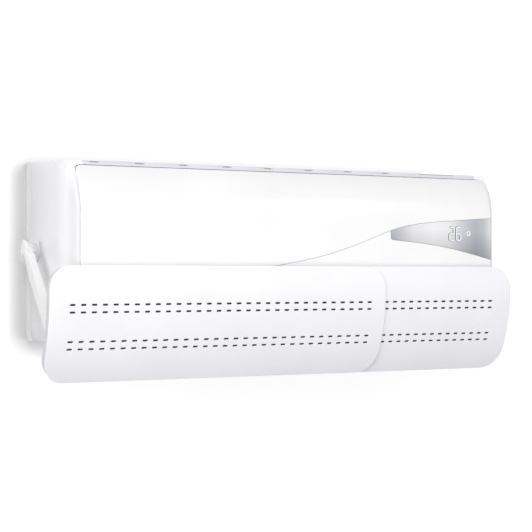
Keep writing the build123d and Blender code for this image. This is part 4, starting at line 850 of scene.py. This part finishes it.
def on_arc(radius, height):
    """Depth of the deflector's arc of a radius at a height."""
    return ARC_CENTRE[0] + np.sqrt(radius ** 2 - (height - ARC_CENTRE[1]) ** 2)


def deflector_lines(first, pitch):
    """Grid lines over one panel: x from its middle and heights, with four lines round each slot."""
    half = SLOT_LENGTH / 2
    tip = SLOT_TALL / 2
    centres = first - DEF_LENGTH / 2 + pitch * np.arange(SLOTS)
    offsets = np.array([-half - tip, -half + tip, half - tip, half + tip])
    lines = (centres[:, None] + offsets).ravel()
    ends = DEF_LENGTH / 2 - DEF_CORNER * (1 - np.cos(np.radians([20, 40, 60, 80])))
    left = -np.sort(ends)[::-1]
    left = left[left < lines[0] - 2]
    right = ends[ends > lines[-1] + 2]
    lines = np.unique(np.concatenate([[-DEF_LENGTH / 2], left, lines, right, [DEF_LENGTH / 2]]))
    rows = (np.array(SLOT_ROWS)[:, None] + np.array([-2 * tip, 0, 2 * tip])).ravel()
    bend = 1 - np.cos(np.radians(np.linspace(0, 90, 9)))
    low = DEF_LOW + DEF_CORNER * bend
    high = DEF_HIGH - DEF_CORNER * bend
    infill = [np.linspace(-20, -10, 3), np.linspace(12, 44, 6), np.linspace(67, 84, 4)]
    heights = np.unique(np.round(np.concatenate([rows, low, high, *infill]), 4))
    return lines, heights, centres


def end_flange(column, start):
    """Flange that leaves the end of the sheet at a right angle and runs towards the arc's centre."""
    inward = np.column_stack([np.zeros(len(column)), np.array(ARC_CENTRE) - column[:, 1:]])
    inward /= np.linalg.norm(inward, axis=1)[:, None]
    grid = column[:, None] + np.array([0, 0.5, 1])[:, None] * FLANGE * inward[:, None]
    return grid.reshape(-1, 3), cells(*grid.shape[:2], start=start).reshape(-1, 4).tolist()


def slot_rings(centres, middle, radius, start):
    """Rings of ten cells between each slot's rounded hole and the grid lines round it."""
    half, tip = SLOT_LENGTH / 2, SLOT_TALL / 2
    turn = np.radians([90, 45, 0, -45, -90])
    right = np.column_stack([half - tip + tip * np.cos(turn), tip * np.sin(turn)])
    inner = np.vstack([right, -right])
    outer_right = np.array([(half - tip, 2 * tip), (half + tip, 2 * tip), (half + tip, 0),
                            (half + tip, -2 * tip), (half - tip, -2 * tip)])
    outer = np.vstack([outer_right, -outer_right])
    flat = np.array([(x, h) for x in centres for h in SLOT_ROWS])
    rings = np.stack([outer, inner])[None] + flat[:, None, None, :]
    spots = rings.reshape(-1, 2)
    points = np.column_stack([middle + spots[:, 0], on_arc(radius, spots[:, 1]), spots[:, 1]])
    base = start + 20 * np.arange(len(flat))
    ring = np.array([(i, (i + 1) % 10, 10 + (i + 1) % 10, 10 + i) for i in range(10)])
    return points, (base[:, None, None] + ring[None]).reshape(-1, 4).tolist()


def edge_painted_shade(piece, middle, end):
    """Painted shade on the faces that cross the sheet at its outer end: the flange and the cut edges get a
    greyer colour.
    """
    piece.data.materials.append(EDGE)
    spots = np.empty(3 * len(piece.data.polygons))
    facing = np.empty_like(spots)
    piece.data.polygons.foreach_get("center", spots)
    piece.data.polygons.foreach_get("normal", facing)
    x, y, z = spots.reshape(-1, 3).T / MM
    spokes = np.stack([y + ARC_CENTRE[0], z - BOTTOM / MM - ARC_CENTRE[1]])
    spokes /= np.hypot(*spokes)
    turned = np.abs((facing.reshape(-1, 3)[:, 1:] * spokes.T).sum(axis=1)) < 0.5
    on_end = end * (x - middle) > DEF_LENGTH / 2 - DEF_CORNER - 1
    piece.data.polygons.foreach_set("material_index", (turned & on_end).astype(int))


def slot_shade_sheets(name, middle, radius, body, centres):
    """Painted shade: a dark sheet inside the sheet's thickness, seen only in the slots, stands for the shade
    behind them.
    """
    reach = SLOT_LENGTH / 2 + 1
    for number, row in enumerate(SLOT_ROWS):
        rows = row + np.array([-SLOT_TALL / 2 - 0.8, 0, SLOT_TALL / 2 + 0.8])
        x = middle + np.linspace(centres[0] - reach, centres[-1] + reach, 12)
        depth = on_arc(radius - 1.5, rows)[:, None] * np.ones_like(x)
        grid = np.stack([x * np.ones((3, 1)), depth, rows[:, None] * np.ones_like(x)], axis=-1)
        shade_sheet = sheet(f"{name}_gauze_{number + 1}", grid, SLOT_SHADE_SHEET, body)
        walled(shade_sheet, 0.4)


def deflector_panel(name, node, left, radius, body, end, slots):
    """Curved slotted sheet: grid cells at the slots are swapped for rings round rounded holes."""
    lines, heights, centres = deflector_lines(*slots)
    middle = left + DEF_LENGTH / 2
    centre_height = (DEF_LOW + DEF_HIGH) / 2
    beyond = np.clip(np.abs(heights - centre_height) - ((DEF_HIGH - DEF_LOW) / 2 - DEF_CORNER), 0, DEF_CORNER)
    limit = DEF_LENGTH / 2 - (DEF_CORNER - np.sqrt(DEF_CORNER ** 2 - beyond ** 2))
    x = np.abs(lines)[None, :]
    scale = (limit[:, None] - STRAIGHT) / (DEF_LENGTH / 2 - STRAIGHT)
    spread = np.where(x > STRAIGHT, STRAIGHT + (x - STRAIGHT) * scale, x) * np.sign(lines)
    grid = np.stack([middle + spread, np.broadcast_to(on_arc(radius, heights)[:, None], spread.shape),
                     np.broadcast_to(heights[:, None], spread.shape)], axis=-1)
    mid_x = (lines[:-1] + lines[1:]) / 2
    mid_h = (heights[:-1] + heights[1:]) / 2
    in_slot = (np.abs(mid_x[:, None] - centres) < (SLOT_LENGTH + SLOT_TALL) / 2).any(axis=1)
    in_row = (np.abs(mid_h[:, None] - np.array(SLOT_ROWS)) < SLOT_TALL).any(axis=1)
    solid = ~(in_row[:, None] & in_slot[None, :])
    quads = cells(*grid.shape[:2])[solid]
    start = grid.shape[0] * grid.shape[1]
    rings, ring_faces = slot_rings(centres, middle, radius, start)
    rim, rim_faces = end_flange(grid[:, 0 if end < 0 else -1], start + len(rings))
    points = np.vstack([grid.reshape(-1, 3), rings, rim])
    piece = put(name, points, quads.tolist() + ring_faces + rim_faces, DEFLECTOR, body)
    walled(piece, 2.6, 0.35, 2)
    edge_painted_shade(piece, middle, end)
    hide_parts(node)
    slot_shade_sheets(name, middle, radius, body, centres)


deflector_panel("deflector_left_sheet", "deflector_left", DEF_LEFT, ARC_R, "panel_left", -1, LEFT_SLOTS)
deflector_panel("deflector_right_sheet", "deflector_right", RIGHT_LEFT, ARC_R - SHEET_STEP, "panel_right", 1,
                RIGHT_SLOTS)


# ---- wall, floor, light and camera ----
SHADE_LEAN = (0.78, -0.5, 0.32)    # the close shade falls below and to the left of what stands there
SHADE_REACH, SHADE_POWER = 0.034, 1.35


def stage_material(name, grey, glow):
    """Pale matt paint; the camera sees a plain glow that darkens where something stands close.

    From behind it is clear, and light passes it, so that the unit's back can be seen.
    """
    mat = bpy.data.materials.new(name)
    mat.use_nodes = True
    tree = mat.node_tree
    tree.nodes.clear()
    add = tree.nodes.new
    join = tree.links.new
    paint = add("ShaderNodeBsdfDiffuse")
    paint.inputs["Color"].default_value = (grey, grey, grey, 1)
    near = add("ShaderNodeAmbientOcclusion")
    near.inputs["Distance"].default_value = SHADE_REACH
    near.samples = 12
    lean = add("ShaderNodeCombineXYZ")
    for socket, value in zip(lean.inputs, SHADE_LEAN):
        socket.default_value = value
    join(lean.outputs[0], near.inputs["Normal"])
    glowing = add("ShaderNodeEmission")
    path = add("ShaderNodeLightPath")
    seen = path.outputs["Is Camera Ray"]
    for ray in ("Is Glossy Ray", "Is Transmission Ray"):
        either = add("ShaderNodeMath")
        either.operation = "MAXIMUM"
        join(seen, either.inputs[0])
        join(path.outputs[ray], either.inputs[1])
        seen = either.outputs[0]
    deep = add("ShaderNodeMath")
    deep.operation = "POWER"
    deep.inputs[1].default_value = SHADE_POWER
    join(near.outputs["AO"], deep.inputs[0])
    for other in (deep.outputs[0], glow):
        level = add("ShaderNodeMath")
        level.operation = "MULTIPLY"
        join(seen, level.inputs[0])
        if isinstance(other, float):
            level.inputs[1].default_value = other
        else:
            join(other, level.inputs[1])
        seen = level.outputs[0]
    join(seen, glowing.inputs["Strength"])
    both = add("ShaderNodeAddShader")
    join(paint.outputs[0], both.inputs[0])
    join(glowing.outputs[0], both.inputs[1])
    clear = add("ShaderNodeBsdfTransparent")
    back = add("ShaderNodeNewGeometry")
    passing = add("ShaderNodeMath")
    passing.operation = "MAXIMUM"
    join(back.outputs["Backfacing"], passing.inputs[0])
    join(path.outputs["Is Shadow Ray"], passing.inputs[1])
    pick = add("ShaderNodeMixShader")
    join(passing.outputs[0], pick.inputs[0])
    join(both.outputs[0], pick.inputs[1])
    join(clear.outputs[0], pick.inputs[2])
    out = add("ShaderNodeOutputMaterial")
    join(pick.outputs[0], out.inputs["Surface"])
    return mat


def backdrop():
    """Wall, quarter-round cove and floor in one sheet: a profile carried along X."""
    reach, drop, cove = 6.0, -1.7, 0.5
    turn = np.linspace(0, math.pi / 2, 12)
    depth = np.concatenate([[0.0], cove * (1 - np.cos(turn)), [5.0]])
    height = np.concatenate([[3.5], drop + cove * (1 - np.sin(turn)), [drop]])
    xs = np.array([-reach, reach])
    points = np.empty((len(depth), 2, 3))
    points[..., 0] = xs
    points[..., 1] = (0.0015 - depth)[:, None]
    points[..., 2] = height[:, None]
    n = len(depth)
    faces = [(2 * i, 2 * i + 2, 2 * i + 3, 2 * i + 1) for i in range(n - 1)]
    mesh = bpy.data.meshes.new("backdrop")
    mesh.from_pydata(points.reshape(-1, 3).tolist(), [], faces)
    mesh.polygons.foreach_set("use_smooth", [True] * len(faces))
    mesh.update()
    stand = bpy.data.objects.new("backdrop", mesh)
    mesh.materials.append(stage_material("pale_backdrop", 0.3, 0.80))
    bpy.context.scene.collection.objects.link(stand)


backdrop()


def lamp(name, spot, aim, size, power):
    """Square soft lamp at a spot, turned to a point."""
    light = bpy.data.lights.new(name, "AREA")
    light.size = size
    light.energy = power
    holder = bpy.data.objects.new(name, light)
    holder.location = spot
    holder.rotation_euler = (Vector(aim) - Vector(spot)).to_track_quat("-Z", "Y").to_euler()
    bpy.context.scene.collection.objects.link(holder)


lamp("left_key", (-1.9, -3.2, 2.3), (-0.1, -0.1, 0), 0.35, 46)
lamp("right_soft_box", (1.5, -3.6, 0.8), (0, -0.1, 0), 2.4, 29)
lamp("side_strip", (-3.0, -1.5, 0.3), (-0.3, -0.1, 0), 2.6, 50)
lamp("low_fill", (-0.6, -3.4, -1.1), (0, -0.1, 0), 1.6, 25)
lamp("rear_soft_box", (0.3, 3.0, 0.6), (0, 0, 0), 2.0, 60)


def studio_world():
    """Pale fill from all round, and plain white where the camera looks past the wall."""
    world = bpy.data.worlds.new("studio")
    bpy.context.scene.world = world
    world.use_nodes = True
    tree = world.node_tree
    fill = tree.nodes["Background"]
    fill.inputs["Color"].default_value = (0.96, 0.955, 0.97, 1)
    fill.inputs["Strength"].default_value = 0.46
    white = tree.nodes.new("ShaderNodeBackground")
    white.inputs["Color"].default_value = (1, 1, 1, 1)
    path = tree.nodes.new("ShaderNodeLightPath")
    pick = tree.nodes.new("ShaderNodeMixShader")
    tree.links.new(path.outputs["Is Camera Ray"], pick.inputs[0])
    tree.links.new(fill.outputs[0], pick.inputs[1])
    tree.links.new(white.outputs[0], pick.inputs[2])
    tree.links.new(pick.outputs[0], tree.nodes["World Output"].inputs["Surface"])


studio_world()

CAMERA_YAW = math.radians(28.95)
CAMERA_PITCH = math.radians(0.4)
CAMERA_SPOT = (-1.249, -2.342, -0.065)
SENSOR_WIDTH, FOCAL_LENGTH = 36, 101.5
camera = bpy.data.objects.new("camera", bpy.data.cameras.new("camera"))
camera.data.sensor_width = SENSOR_WIDTH
camera.data.lens = FOCAL_LENGTH
camera.location = CAMERA_SPOT
ahead = Vector((math.sin(CAMERA_YAW) * math.cos(CAMERA_PITCH), math.cos(CAMERA_YAW) * math.cos(CAMERA_PITCH),
                math.sin(CAMERA_PITCH)))
camera.rotation_euler = ahead.to_track_quat("-Z", "Y").to_euler()
bpy.context.scene.collection.objects.link(camera)
bpy.context.scene.camera = camera
bpy.context.scene.view_settings.view_transform = "Standard"
